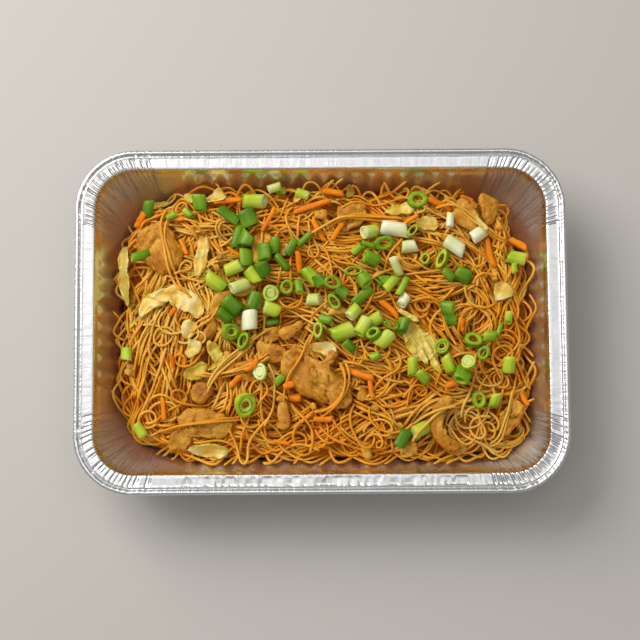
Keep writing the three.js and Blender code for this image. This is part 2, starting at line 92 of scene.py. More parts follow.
# The rolled edge: radius, height of its middle, half its height, degrees and steps round it, and the inset
# of its foot
ROLL_RADIUS = 1.75
ROLL_LEVEL = 50.25
ROLL_RISE = 1.7
ROLL_ANGLES = (150, -110)
ROLL_STEPS = 12
ROLL_INSET = 4.8

# Ripples of the flange: insets of their borders and of their fades, depth on the near side and elsewhere
RIPPLE_INSETS = (5.6, 12.5)
RIPPLE_FADES = (5.2, 12.7)
NEAR_RIPPLE = 0.5
OTHER_RIPPLE = 0.12

# Creases of each corner: their number, and how much deeper they are on the wall than on the flange
CORNER_CREASES = 23
WALL_CREASE = 2.4

# Steps of the foil's mesh: along each flute, along each flute of the near side, and round each corner
FLUTE_STEPS = 8
NEAR_STEPS = 13
CORNER_STEPS = 172

# Foil: colour, roughness of the wall and the rim, and what the corners' walls add
FOIL_COLOUR = (231, 231, 232)
WALL_DULL = 0.42
RIM_DULL = 0.26
CORNER_DULL = 0.1

# Foil: scale and roughness of its clouds, and scale, stretch and depth of its fine creases
CLOUD_SCALE = 0.06
CLOUD_DULL = (-0.05, 0.06)
GRAIN_SCALE = 0.35
GRAIN_STRETCH = (1, 0.12, 1)
GRAIN_DEPTH = 0.35

# Where noodles may lie: half length, half width and corner of an outline along the wall
HEAP_HALF_X = 146.0
HEAP_HALF_Y = 97.6
HEAP_CORNER = 30

# Margins inside it: all along, how uneven, at the left end, and at each corner, with the reach and the fade
# of a corner's margin along its sides
LEAST_MARGIN = 2
UNEVEN_MARGIN = 2.4
LEFT_MARGIN = 3
CORNER_MARGIN = {(-1, 1): 12, (1, 1): 10, (-1, -1): 10, (1, -1): 4}
CORNER_REACH = 62
CORNER_FADE = 40

# Edge of the food: the band where strands turn aside, how sharply they turn, and how wide the slope is
EDGE_BAND = 12
EDGE_TURN = 0.3
EDGE_SLOPE = 17

# Grid of heights: half its size, its spacing, and the height that stands for nothing there
GRID_HALF_X = 152.0
GRID_HALF_Y = 104.0
CELL = 0.5
OPEN = 1000.0

# Noodles: the strand, its points, and how much a strand sags between what carries it
STRAND_RADIUS = 0.9
STRAND_SIDES = 5
STRAND_STEP = 2.1
STRAND_SPACING = 1.45
STRAND_SLACK = 0.09
SHORTEST = 6

# Depth of the loose noodles under the surface, and the closed bed under them
FILL_DEPTH = 7
BED_DEPTH = 9.5
BED_MARGIN = 5
BED_ROWS = 71
BED_COLUMNS = 47

# Numbers of hanks and strands, and of the places that are tried for a hank
FILL_HANKS = 50
TOP_HANKS = 42
PLACES_TRIED = 30
EDGE_STRANDS = 340
CURL_STRANDS = 4
LOOSE_STRANDS = 380

# How far a strand may lie over the surface, on average and at its highest point, and its gap to a topping
FILL_RISE = -1.5
HANK_RISE = 2.2
CURL_RISE = 3.6
LOOSE_RISE = 4.2
DRAPE_RISE = 9
MOST_PEAK = 5
TOPPING_GAP = 0.8

# Toppings: spacing of the points, lift and swell of the meat over its solids, and the number of crumbs
MEAT_GRID = 0.75
LEAF_GRID = 0.75
CARROT_RINGS = 17
CARROT_SIDES = 12
ONION_SIDES = 24
MEAT_LIFT = 1.2
MEAT_SWELL = 1.1
CRUMBS = 40

# Camera that fits the rim in the photograph: degrees and millimetres, then pixels of a square picture
VIEW_ELEVATION = 83
VIEW_ROLL = 0.4
VIEW_DISTANCE = 1179
SENSOR = 36
VIEW_FOCAL = 1768
VIEW_MIDDLE = (321.1, 319.5)
IMAGE = 640

# Studio, in metres: floor, lights (place, aim, size, power, colour) and the light from all round
FLOOR_HALF = 3
FLOOR_COLOUR = (206, 203, 198)
FLOOR_ROUGHNESS = 0.7
LIGHTS = {
    "overhead": ((0, 0.2, 1.6), (0, 0.2, 0), (1.9, 1.5), 4.5, (1, 1, 1)),
    "middle": ((0, 0.2, 1.55), (0, 0.2, 0), (0.95, 0.75), 0.7, (1, 1, 1)),
    "window": ((-0.9, 0.75, 1.1), (0, 0, 0.03), (1.1, 1.1), 20, (1, 0.97, 0.92)),
}
SURROUND_COLOUR = (1, 0.98, 0.95, 1)
SURROUND_STRENGTH = 0.27

# Colours, sRGB
NOODLE_PALE = (244, 200, 100)
NOODLE_GOLD = (244, 168, 40)
NOODLE_AMBER = (230, 138, 22)
# Painted shade for noodle strands that lie deep in the heap
NOODLE_DEEP_SHADE = (214, 118, 20)
CHICKEN_PALE = (230, 172, 66)
CHICKEN_GOLD = (200, 130, 26)
# Browned colour of the chicken, also used for painted shade in its clefts
CHICKEN_BROWN_AND_SHADE = (132, 68, 10)
CABBAGE_WHITE = (246, 230, 176)
CABBAGE_PALE = (248, 212, 108)
CABBAGE_GREEN = (216, 198, 48)
CARROT_BRIGHT = (252, 150, 10)
CARROT_DEEP = (236, 118, 4)
ONION_WHITE = (255, 252, 220)
ONION_LIGHT = (198, 216, 58)
ONION_MID = (124, 170, 26)
ONION_DARK = (78, 126, 10)

# Shades of the spring onion where it is light green and mid green, how soon the next green is reached, and
# the least shade of a hollow leaf
LIGHT_SHADE = 0.4
MID_SHADE = 0.7
SHADE_STEP = 0.3
HOLLOW_SHADE = 0.6

# All food: tint of its sheen, linear, and how far light spreads in it, by colour and in millimetres
OILY = (1, 0.88, 0.64, 1)
SPREAD_COLOUR = (1.0, 0.65, 0.3)
SPREAD = 2

# Looks of the food: scale and stretch of its fine pattern, how much this changes the colour and raises the
# surface, roughness, specular level, and share of the light that enters
LOOKS = {
    "noodle": (0.3, (1, 0.8, 1), 0.1, 0.05, 0.42, 0.35, 0.7),
    "chicken": (0.6, (0.5, 1.6, 1), 0.2, 0.55, 0.36, 0.35, 0.15),
    "cabbage": (0.5, (0.4, 2.2, 1), 0.08, 0.25, 0.3, 0.45, 0.25),
    "carrot": (0.6, (0.5, 2, 1), 0.08, 0.12, 0.38, 0.3, 0),
    "spring_onion": (0.8, (0.15, 2.4, 1), 0.1, 0.08, 0.32, 0.45, 0.15),
}

# Main hanks seen in the photograph: x, y, heading, length, turn over the length (degrees), width
HANKS = [
    (-133, 0, -86, 130, 12, 10),
    (-124, -20, -96, 110, 35, 12),
    (-112, -8, -118, 90, 25, 14),
    (-99, -22, -100, 80, 30, 16),
    (-104, -40, -75, 70, 40, 10),
    (-113, 25, -110, 60, -60, 10),
    (-78, 10, -58, 90, 10, 10),
    (-70, 55, -70, 70, 20, 14),
    (-105, 80, 10, 80, -30, 10),
    (-30, 96, 5, 90, -60, 9),
    (-55, -72, 12, 90, 15, 12),
    (-30, -86, -4, 100, 10, 12),
    (8, -78, 80, 70, 170, 14),
    (14, -84, 100, 70, -190, 12),
    (52, -58, 28, 90, 12, 18),
    (44, -90, 4, 90, 10, 10),
    (88, -56, 20, 80, -60, 14),
    (104, -72, 70, 70, -150, 10),
    (66, -28, -40, 70, 30, 14),
    (100, 4, 60, 70, 210, 10),
    (122, -12, 80, 80, -230, 10),
    (110, 22, 120, 70, 190, 8),
    (139, -10, 88, 120, -8, 10),
    (133, 10, 95, 90, 20, 10),
    (66, 20, 10, 80, 50, 14),
    (60, 28, -20, 70, 30, 12),
    (78, 93, -20, 80, -40, 10),
    (76, 60, -55, 70, 30, 10),
    (10, 52, -40, 60, 30, 10),
    (-10, -15, 50, 60, 20, 10),
]

# Strands draped over the meat: the same values
DRAPES = [
    (-104, 50, -75, 60, 70, 3.5),
    (-118, 56, 40, 50, -60, 2.5),
    (14, -51, 60, 50, 160, 4),
    (-17, -28, 75, 50, -50, 3),
    (-74, -66, 15, 70, 30, 3),
    (78, -60, 30, 60, -40, 3),
    (124, -64, 70, 50, 40, 2.5),
    (22, 72, 5, 60, -40, 4),
    (100, 74, -50, 50, 60, 3),
    (-40, 50, 80, 50, -40, 3),
    (-50, -32, 10, 60, 60, 4),
    (-63, -26, 45, 50, -70, 4),
]

# Curls of a few strands: x, y, radius, turns
CURLS = [
    (-107, -60, 10, 1.3),
    (103, -2, 13, 1.4),
    (124, -18, 11, 1.5),
    (14, -40, 8, 1.1),
    (5, -76, 11, 1.5),
    (16, -82, 9, 1.3),
    (-62, 64, 9, 1.0),
    (82, 95, 6, 1.2),
    (95, -72, 12, 1.2),
    (-104, -30, 9, 1.0),
    (112, 20, 12, 1.2),
    (-20, 95, 9, 0.9),
    (90, 82, 6, 1.0),
    (76, -88, 10, 0.9),
    (34, -34, 13, 0.9),
    (60, 44, 8, 1.1),
    (-88, 62, 8, 0.8),
]

# Chicken, as in the solids: x, y, length, width, heading, bend, height
CHICKEN = [
    (-109, 51, 34, 27, -55, 0, 9),
    (-4, -40, 54, 25, -35, 8, 8),
    (-78, -68, 36, 18, -8, 0, 8),
    (-40, 52, 19, 17, -60, 0, 7),
    (98, 74, 22, 15, 100, 0, 7),
    (114, 77, 19, 13, 80, 0, 7),
    (77, -70, 46, 10, 95, -150, 8),
    (127, -65, 25, 14, 60, 0, 8),
    (22, 73, 22, 17, 20, 0, 6),
    (-81, -47, 17, 14, 60, 0, 7),
    (-20, -6, 18, 9, 35, 20, 7),
    (-63, -28, 18, 10, 100, 40, 7),
    (-25, -62, 20, 8, 95, 45, 7),
]

# Cabbage leaves, as in the solids: x, y, length, width, heading, bend; then how green, and how thick
CABBAGE = [
    (-134, 33, 42, 8, 94, -14, 0.55, 1.2),
    (-102, 19, 54, 12, 0, -150, 0.1, 2.6),
    (-81, 45, 30, 9, 78, 6, 0.0, 2.0),
    (-85, -33, 17, 10, 20, 0, 0.95, 1.0),
    (-72, -20, 16, 8, -60, 12, 0.8, 1.4),
    (1, -18, 19, 8, -12, 0, 0.1, 1.4),
    (65, -12, 33, 17, -50, 10, 0.6, 1.1),
    (54, 77, 19, 8, 8, 0, 0.45, 1.4),
    (73, 67, 14, 10, 0, 0, 0.5, 1.2),
    (122, 20, 14, 12, 60, 0, 0.2, 0.8),
    (-76, -86, 27, 8, -4, 0, 0.4, 1.2),
    (-72, 86, 16, 8, 15, 0, 0.2, 1.6),
]

# Small cabbage, laid on the noodles: the same values
SMALL_CABBAGE = [
    (-87, -18, 13, 9, 60, 0, 0.1, 1.2),
    (-89, 87, 10, 7, -20, 0, 0.8, 0.8),
    (-24, 50, 9, 6, 80, 0, 0.1, 1.0),
    (-15, 86, 10, 5, 60, 20, 0.3, 0.8),
    (-89, -5, 13, 10, 70, 0, 0.25, 1.0),
    (20, 90, 8, 5, 70, 0, 0.7, 0.7),
    (30, -2, 8, 5, 20, 0, 0.6, 0.7),
    (73, -23, 30, 4, -64, 14, 0.7, 0.8),
    (66, -20, 22, 3.5, -60, -18, 0.6, 0.8),
    (77, -26, 20, 3, -75, 25, 0.8, 0.7),
    (58, 4, 18, 3.5, -30, 20, 0.5, 0.8),
    (-70, -28, 15, 3.5, 40, 20, 0.9, 0.8),
    (-112, 84, 16, 4, 15, -20, 0.9, 0.8),
    (108, 66, 14, 3.5, -50, 30, 0.5, 0.8),
]

# Carrot sticks, in the order of their nodes: length, width, heading, bend
CARROT = [
    (20, 4, 3, 6),
    (27, 4, 17, -8),
    (15, 4.6, -12, 8),
    (19, 4, -63, 10),
    (16, 3.4, 58, -12),
    (19, 4, -24, -10),
    (21, 4, -78, 14),
    (14, 5, -30, 0),
    (18, 4.4, -45, -16),
    (21, 4.6, -22, 6),
    (16, 4, 95, 10),
]

# Small carrot, laid on the noodles: x, y, length, width, heading, bend
SMALL_CARROT = [
    (-35, 70, 20, 3, 62, 10), (-123, 72, 12, 5, 60, 0), (61, 69, 13, 3, 30, 0), (-58, -40, 11, 4, 45, 20),
    (-46, -30, 13, 4, 45, 60), (136, -52, 12, 3.4, -65, 50), (-106, -58, 16, 3.4, 95, 10),
    (-22, -43, 8, 5, 20, 0), (-18, -51, 9, 6, 0, 30), (100, 84, 9, 4, -20, 0), (87, -43, 8, 5, 20, 0),
    (-100, -27, 13, 3, 100, 10), (33, -46, 13, 3.4, -80, 10), (-27, -81, 12, 3, -10, 0),
    (1, -66, 13, 4, 0, 20), (-93, 52, 12, 3, -65, 0), (-100, 7, 7, 3, 50, 0), (-96, 71, 7, 3, 0, 0),
    (95, -3, 9, 3, 90, 0), (-58, 48, 12, 3, -30, 0),
]

# Shades of the spring onion in the solids, in the order of their nodes: 0 white, 0.4 light green, 1 dark
ONION_SHADES = [
    0.42, 0.5, 0.4, 0.5, 0.55, 0.95, 0.05, 0.42, 0.3, 0.45, 0.06, 0.16, 0.12, 0.08, 0.46, 0.85, 0.46, 0.42,
    0.32, 0.56, 0.64, 0.66,
]

# Small spring onion lengths, laid on the noodles: x, y, length, diameter, heading, shade
SMALL_LENGTHS = [
    (-49, 71, 11, 8, -70, 0.9), (-82, 82, 11, 7, -85, 0.8), (-62, 73, 16, 5, -33, 0.9),
    (-56, 58, 15, 6, 75, 0.9), (-50, 56, 9, 8, 70, 0.85), (-50, 44, 11, 7, 90, 0.75),
    (-38, 47, 11, 7, 95, 0.85), (-31, 52, 11, 5, 80, 0.75), (-26, 40, 13, 5, -50, 0.9),
    (-39, 36, 9, 7, -60, 0.95), (-55, 24, 12, 8, 10, 0.3), (-45, 14, 12, 7, 70, 0.9),
    (-65, 4, 11, 7, -40, 0.95), (-33, 1, 9, 4, 10, 0.95), (-15, 24, 9, 5, -80, 0.7),
    (-1, 27, 8, 7, -60, 0.9), (14, 20, 9, 5, -30, 0.9), (29, 28, 9, 8, -60, 0.7), (43, 27, 8, 7, 0, 0.8),
    (51, 37, 13, 6, -60, 0.25), (56, 14, 8, 7, 60, 0.1), (47, 25, 11, 6, 50, 0.5),
    (55, 23, 13, 5, 60, 0.6), (28, 17, 16, 5, 40, 0.8), (22, 6, 10, 8, 50, 0.4), (28, -4, 12, 8, 60, 0.4),
    (42, -13, 11, 9, 45, 0.4), (55, -3, 10, 8, 75, 0.85), (34, 42, 10, 9, -20, 0.75),
    (33, 61, 9, 9, 15, 0.35), (25, 49, 8, 5, 30, 0.6), (32, 52, 9, 3, -20, 0.7), (88, 69, 10, 5, 85, 0.1),
    (86, 31, 9, 5, -45, 0.85), (85, 8, 9, 8, 0, 0.8), (87, 0, 8, 5, 0, 0.9), (126, 2, 8, 5, 80, 0.5),
    (126, -30, 10, 8, 85, 0.45), (61, -31, 12, 7, 90, 0.5), (68, -38, 9, 8, -45, 0.6),
    (85, -30, 12, 8, -70, 0.5), (94, -37, 10, 9, 70, 0.8), (116, -54, 9, 7, 70, 0.5),
    (54, -79, 13, 6, 60, 0.95), (113, -11, 8, 7, 0, 0.6), (-131, -21, 8, 7, 90, 0.45),
    (-122, -72, 10, 7, -55, 0.45), (-122, 46, 13, 5, 22, 0.8), (131, 36, 7, 4, 90, 0.5),
    (120, -6, 9, 3, 70, 0.6), (-11, 56, 12, 4, 45, 0.85), (-20, 51, 12, 4, 65, 0.9),
    (3, 1, 9, 4, -15, 0.8), (-27, 91, 6, 5, 0, 0.6), (-118, 80, 11, 6, 80, 0.9),
    (19, -17, 9, 6, -40, 0.9), (36, -24, 7, 5, 20, 0.6), (-28, -39, 7, 4, 40, 0.7),
    (-31, 92, 9, 6, 20, 0.3), (-12, 88, 9, 6, -20, 0.4), (-90, 75, 8, 5, -45, 0.6),
    (-101, 73, 7, 5, 30, 0.6),
]

# Small spring onion rings, laid on the noodles: x, y, diameter, height, shade
SMALL_RINGS = [
    (-51, -56, 15, 4, 0.5), (81, -17, 10, 6, 0.55), (98, -29, 10, 6, 0.45), (66, 83, 12, 4, 0.72),
    (43, 53, 11, 3, 0.7), (105, -53, 10, 4, 0.75), (-23, 23, 9, 4, 0.8), (8, 26, 10, 5, 0.75),
    (9, 13, 9, 4, 0.8), (22, 33, 9, 4, 0.7), (35, -9, 9, 5, 0.8), (71, 42, 7, 4, 0.72),
    (-52, -13, 10, 5, 0.9), (-2, -6, 9, 3, 0.7), (47, -3, 8, 4, 0.9), (-41, -34, 11, 3, 0.35),
    (62, 61, 7, 4, 0.65), (109, -22, 9, 3, 0.72),
]

# Small chicken, laid on the noodles: x, y, length, width, heading
SMALL_CHICKEN = [
    (-50, -32, 16, 15, 0), (6, -25, 17, 7, 45), (-69, 16, 22, 7, 52), (-34, -8, 11, 11, 0),
    (-95, -79, 15, 14, 0), (-76, -8, 20, 8, 50), (-34, -20, 20, 11, -25), (91, -21, 12, 9, 0),
    (91, -86, 11, 9, 0), (48, -76, 12, 9, 0), (58, -86, 13, 10, 0), (28, -49, 9, 8, 90),
    (30, -87, 12, 7, 100), (0, 74, 9, 8, 0), (-128, -31, 9, 7, 90), (-50, 20, 24, 5, 25),
    (10, 8, 14, 6, 10),
]


def linear(colour):
    """An sRGB colour from 0 to 255 as linear values."""
    c = np.asarray(colour, float) / 255
    return np.where(c <= 0.04045, c / 12.92, ((c + 0.055) / 1.055) ** 2.4)


def mix(a, b, t):
    """From a to b as t goes from 0 to 1."""
    return a + (b - a) * t


def stain(tint, colour, amount):
    """A tint with a colour mixed in, by an amount for each point."""
    return mix(tint, linear(colour), amount[..., None])


def smooth(t):
    """A soft step from 0 to 1."""
    t = np.clip(t, 0, 1)
    return t * t * (3 - 2 * t)


def lattice(cells):
    """A fixed pseudo-random value from -1 to 1 for each whole-number cell."""
    h = cells.astype(np.int64) @ np.array([374761393, 668265263, 2147483647])
    h = (h ^ (h >> 13)) * 1274126177
    h = (h ^ (h >> 16)) & 0xFFFF
    return h / 32767.5 - 1


def noise(points):
    """Smooth noise from -1 to 1 at points in space, with features one unit wide."""
    base = np.floor(points)
    t = smooth(points - base)
    total = np.zeros(len(points))
    for corner in np.ndindex(2, 2, 2):
        pick = np.array(corner)
        weight = np.prod(np.where(pick == 1, t, 1 - t), axis=1)
        total += weight * lattice(base + pick)
    return total


def flat_noise(u, v, seed=0.0):
    """The same noise over two coordinates, moved by a seed."""
    return noise(np.column_stack(np.broadcast_arrays(u, v, 0.0)) + seed)


def spread(u, v):
    """Every pair of a value of u and one of v, with v changing faster."""
    return (a.ravel() for a in np.meshgrid(u, v, indexing="ij"))


def round_angles(sides):
    """Angles of the points of a ring."""
    return np.linspace(0, 2 * math.pi, sides, endpoint=False)


def coordinates(obj):
    """A node's vertices in millimetres."""
    co = np.empty(len(obj.data.vertices) * 3)
    obj.data.vertices.foreach_get("co", co)
    return co.reshape(-1, 3) / MM


def new_object(name, data):
    """An object in the scene."""
    obj = bpy.data.objects.new(name, data)
    bpy.context.scene.collection.objects.link(obj)
    return obj


class Batch:
    """Gathers meshes, to be joined into one smooth piece that rides with the tray. Each has points in
    millimetres, arrays of faces, and for each point a colour and two coordinates of a pattern."""

    def __init__(self):
        self.points = []
        self.faces = []
        self.tints = []
        self.patterns = []
        self.count = 0

    def add(self, points, faces, tint, pattern):
        self.points.append(points)
        self.faces.extend(f + self.count for f in faces)
        self.tints.append(tint)
        self.patterns.append(pattern)
        self.count += len(points)

    def add_sheet(self, points, rows, columns, tint, pattern):
        """Adds a thin body. Its lower points have the tints and patterns of the upper ones."""
        faces = [closed_sheet_faces(rows, columns)]
        self.add(points, faces, np.tile(tint, (2, 1)), np.tile(pattern, (2, 1)))

    def piece(self, name, material, slot):
        """The joined piece, in the scene."""
        faces = sorted(self.faces, key=lambda f: f.shape[1])
        loops = np.concatenate([f.ravel() for f in faces]).astype(np.int32)
        sizes = np.concatenate([np.full(len(f), f.shape[1]) for f in faces])
        mesh = bpy.data.meshes.new(name)
        mesh.vertices.add(self.count)
        mesh.vertices.foreach_set("co", (np.concatenate(self.points) * MM).astype(np.float32).ravel())
        mesh.loops.add(len(loops))
        mesh.loops.foreach_set("vertex_index", loops)
        mesh.polygons.add(len(sizes))
        mesh.polygons.foreach_set("loop_start", (np.cumsum(sizes) - sizes).astype(np.int32))
        mesh.update(calc_edges=True)
        mesh.polygons.foreach_set("use_smooth", np.ones(len(sizes), bool))
        colours = mesh.color_attributes.new("tint", "FLOAT_COLOR", "POINT")
        opaque = np.hstack([np.concatenate(self.tints), np.ones((self.count, 1))])
        colours.data.foreach_set("color", opaque.astype(np.float32).ravel())
        layer = mesh.uv_layers.new(name="pattern")
        layer.data.foreach_set("uv", np.concatenate(self.patterns)[loops].astype(np.float32).ravel())
        mesh.materials.append(material)
        obj = new_object(name, mesh)
        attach(obj, "root")
        return obj


def sheet_faces(rows, columns, wrap_rows=False, wrap_columns=False):
    """Quads over a grid of points stored row by row."""
    r, c = spread(np.arange(rows if wrap_rows else rows - 1),
                  np.arange(columns if wrap_columns else columns - 1))
    r2 = (r + 1) % rows
    c2 = (c + 1) % columns
    return np.stack([r * columns + c, r * columns + c2, r2 * columns + c2, r2 * columns + c], axis=1)


def closed_sheet_faces(rows, columns):
    """Faces of a thin body: an upper grid of points, then a lower one, joined round the edge."""
    grid = sheet_faces(rows, columns)
    count = rows * columns
    rim = np.concatenate([np.arange(columns), np.arange(1, rows) * columns + columns - 1,
                          count - 2 - np.arange(columns - 1), np.arange(rows - 2, 0, -1) * columns])
    after = np.roll(rim, -1)
    border = np.stack([rim, after, after + count, rim + count], axis=1)
    return np.concatenate([grid[:, ::-1], grid + count, border])


def tube_faces(rows, sides):
    """Faces of a closed tube whose rings of points are stored one after another."""
    caps = np.array([np.arange(sides)[::-1], np.arange(sides) + (rows - 1) * sides])
    return [sheet_faces(rows, sides, wrap_columns=True), caps]


# Height of what lies in the tray

def rounded_depth(xy, half_x, half_y, corner):
    """Distance inside a rounded rectangle, and the way in."""
    d = np.abs(xy) - (np.array([half_x, half_y]) - corner)
    out = np.maximum(d, 0)
    reach = np.hypot(out[..., 0], out[..., 1])
    depth = corner - reach - np.minimum(d.max(axis=-1), 0)
    straight = (d == d.max(axis=-1, keepdims=True)).astype(float)
    way = np.where(reach[..., None] > 1e-6, out / np.maximum(reach, 1e-6)[..., None], straight)
    return depth, -way * np.sign(xy)


def heap_depth(xy):
    """Distance inside the heap's outline, and the way in."""
    return rounded_depth(xy, HEAP_HALF_X, HEAP_HALF_Y, HEAP_CORNER)


def edge_margin(xy):
    """How far inside the heap's outline the food ends: unevenly, and further in at corners and the left."""
    x, y = xy[..., 0], xy[..., 1]
    across = np.minimum(np.abs(x) - HEAP_HALF_X + CORNER_REACH, np.abs(y) - HEAP_HALF_Y + CORNER_REACH)
    wide = LEFT_MARGIN * smooth(-x / 30 - 3)
    for (side_x, side_y), amount in CORNER_MARGIN.items():
        here = (np.sign(x) == side_x) & (np.sign(y) == side_y)
        wide = np.where(here, np.maximum(wide, amount * smooth(across / CORNER_FADE)), wide)
    uneven = flat_noise(x.ravel() / 13, y.ravel() / 13, (0, 0, 3.3))
    return wide + LEAST_MARGIN + UNEVEN_MARGIN * uneven.reshape(x.shape)


def keep_in(xy, margin):
    """Moves the points near or beyond the edge of the food to just inside it."""
    depth, way = heap_depth(xy)
    least = margin + edge_margin(xy)
    pressed = least + 4 * np.exp(np.minimum((depth - least) / 4 - 1, 0))
    return xy + way * np.maximum(pressed - depth, 0)[:, None]


def random_place(margin):
    """A place anywhere on the food."""
    return keep_in(rng.uniform(-1, 1, (1, 2)) * (HEAP_HALF_X, HEAP_HALF_Y), margin)[0]


def cut_at_edge(line, start, margin):
    """The part of a line round its starting point that lies inside the food."""
    depth, _ = heap_depth(line)
    outside = np.flatnonzero(depth < margin + edge_margin(line))
    first = np.max(outside[outside < start], initial=-1) + 1
    last = np.min(outside[outside >= start], initial=len(line))
    return line[first:last]


class Ground:
    """Heights in millimetres on a grid over the tray. Strands and toppings rest on it and raise it."""

    def __init__(self):
        self.low = np.array([-GRID_HALF_X, -GRID_HALF_Y])
        self.shape = (int(2 * GRID_HALF_X / CELL) + 1, int(2 * GRID_HALF_Y / CELL) + 1)
        self.height = np.zeros(self.shape)
        self.ceiling = np.full(self.shape, OPEN)
        self.target = np.zeros(self.shape)
        self.full = np.zeros(self.shape)
        self.covered = np.zeros(self.shape, bool)
        depth, self.inward = heap_depth(self.places())
        self.room = depth - edge_margin(self.places())

    def index(self, xy):
        """The cells that places lie in."""
        ij = np.rint((xy - self.low) / CELL).astype(int)
        return np.clip(ij[..., 0], 0, self.shape[0] - 1), np.clip(ij[..., 1], 0, self.shape[1] - 1)

    def places(self):
        """The middle of each cell."""
        x = self.low[0] + np.arange(self.shape[0]) * CELL
        y = self.low[1] + np.arange(self.shape[1]) * CELL
        return np.stack(np.meshgrid(x, y, indexing="ij"), axis=-1)

    def raise_to(self, cells, level):
        """Raises the cells that lie lower than a level."""
        self.height[cells] = np.maximum(self.height[cells], level)

    def trace(self, obj, top=True):
        """The highest or lowest surface of a node over each cell."""
        out = np.full(self.shape, -OPEN if top else OPEN)
        pick = np.maximum if top else np.minimum
        obj.data.calc_loop_triangles()
        corners = coordinates(obj)
        for triangle in obj.data.loop_triangles:
            a, b, c = corners[list(triangle.vertices)]
            area = (b[0] - a[0]) * (c[1] - a[1]) - (c[0] - a[0]) * (b[1] - a[1])
            if abs(area) < 1e-6:
                continue
            i, j = self.index(np.array([a[:2], b[:2], c[:2]]))
            i = np.arange(i.min(), i.max() + 1)
            j = np.arange(j.min(), j.max() + 1)
            x = (self.low[0] + i * CELL)[:, None]
            y = (self.low[1] + j * CELL)[None, :]
            u = ((b[0] - x) * (c[1] - y) - (c[0] - x) * (b[1] - y)) / area
            v = ((c[0] - x) * (a[1] - y) - (a[0] - x) * (c[1] - y)) / area
            w = 1 - u - v
            inside = (u >= -0.02) & (v >= -0.02) & (w >= -0.02)
            z = u * a[2] + v * b[2] + w * c[2]
            part = out[i[0]:i[-1] + 1, j[0]:j[-1] + 1]
            part[inside] = pick(part, z)[inside]
        return out


def wall_level(xy):
    """Height of the tray's inner wall over a place, clear of the flutes."""
    level = np.full(xy.shape[:-1], float(WALL_TOP[1]))
    for down in np.linspace(0, 1, 30):
        inset, z = mix(np.array(WALL_TOP), np.array(WALL_FOOT), down)
        turn = CORNER - inset + CORNER_WIDENS * down
        depth = rounded_depth(xy, LENGTH / 2 - inset, WIDTH / 2 - inset, turn)[0]
        level[depth > FLUTE_DEPTH + 0.3] = z
    return level


def topping_nodes(nodes):
    """The solids that lie on the noodles."""
    return {name: node for name, node in nodes.items() if name not in ("tray", "noodles")}


def prepare_ground(nodes):
    """Lays out the floor that strands start from, the height to fill to, and the undersides of toppings."""
    ground = Ground()
    surface = ground.trace(nodes["noodles"])
    ground.target = np.where(surface > 0, surface, np.nan)
    for lines in (ground.target, ground.target.T):
        for line in lines:
            known = np.flatnonzero(~np.isnan(line))
            if len(known):
                line[:] = np.interp(np.arange(len(line)), known, line[known])
    wall = wall_level(ground.places())
    slope = smooth((ground.room + 3) / EDGE_SLOPE)
    ground.target = mix(np.minimum(wall + 1, ground.target), ground.target, slope)
    ground.height = np.maximum(wall, ground.target - FILL_DEPTH)
    ground.full = np.maximum(wall + 5, ground.target)
    for node in topping_nodes(nodes).values():
        ground.ceiling = np.minimum(ground.ceiling, ground.trace(node, top=False) - TOPPING_GAP)
    for axis in (0, 1):
        for step in (-1, 1, -2, 2):
            ground.ceiling = np.minimum(ground.ceiling, np.roll(ground.ceiling, step, axis))
    return ground


# Noodles

def evened(values, passes):
    """Evens out a row of values, or of places, a little."""
    for _ in range(passes):
        padded = np.concatenate([values[:1], values, values[-1:]])
        values = (padded[:-2] + 2 * padded[1:-1] + padded[2:]) / 4
    return values


def lay_strand(laid, ground, xy, most_rise):
    """Rests a strand on what lies there and adds it to those laid. It bridges gaps, passes over itself and
    under toppings, and raises the ground. Where the heap is full already, the strand is left out."""
    if len(xy) < SHORTEST:
        return
    radius = STRAND_RADIUS * rng.uniform(0.86, 1.12)
    tangent = np.gradient(xy, axis=0)
    tangent /= np.maximum(np.hypot(tangent[:, 0], tangent[:, 1]), 1e-6)[:, None]
    normal = np.stack([-tangent[:, 1], tangent[:, 0]], axis=1)
    along = np.concatenate([[0], np.cumsum(np.hypot(*np.diff(xy, axis=0).T))])
    spans = along[:, None] - along[None, :]
    sides = [ground.height[ground.index(xy + normal * side * radius)] for side in (-0.6, 0, 0.6)]
    rest = np.max(sides, axis=0) + radius * 0.75
    sag = STRAND_SLACK * spans ** 2
    bridge = np.max(rest - sag, axis=1)
    apart = np.hypot(*(xy[:, None] - xy[None, :]).transpose(2, 0, 1))
    over_itself = (spans > 12) & (apart < 2.2 * radius)
    if over_itself.any():
        crossing = np.max(np.where(over_itself, bridge + 1.8 * radius, 0), axis=1)
        bridge = np.max(np.maximum(rest, crossing) - sag, axis=1)
    cells = ground.index(xy)
    below = ground.ceiling[cells] - radius
    z = np.minimum(evened(np.minimum(evened(bridge, 2), below), 1), below)
    over = z - ground.full[cells]
    if over.mean() > most_rise or over.max() > most_rise + MOST_PEAK:
        return
    fine = np.linspace(0, len(xy) - 1, (len(xy) - 1) * 4 + 1)
    rows = np.arange(len(xy))
    path, across = (np.stack([np.interp(fine, rows, a[:, 0]), np.interp(fine, rows, a[:, 1])], axis=1)
                    for a in (xy, normal))
    level = np.interp(fine, rows, z)
    for side, rise in ((-0.8, 0.5), (-0.4, 0.85), (0, 1), (0.4, 0.85), (0.8, 0.5)):
        np.maximum.at(ground.height, ground.index(path + across * side * radius), level + rise * radius)
    laid.append((np.column_stack([xy, z]), radius))


def random_waves(strength):
    """Two swings that a strand makes, a long and a short one: amount in radians, wavelength, phase."""
    return [(rng.uniform(0.2, 0.6) * strength, rng.uniform(50, 100), rng.uniform(0, 6.3)),
            (rng.uniform(0.06, 0.22) * strength, rng.uniform(20, 40), rng.uniform(0, 6.3))]


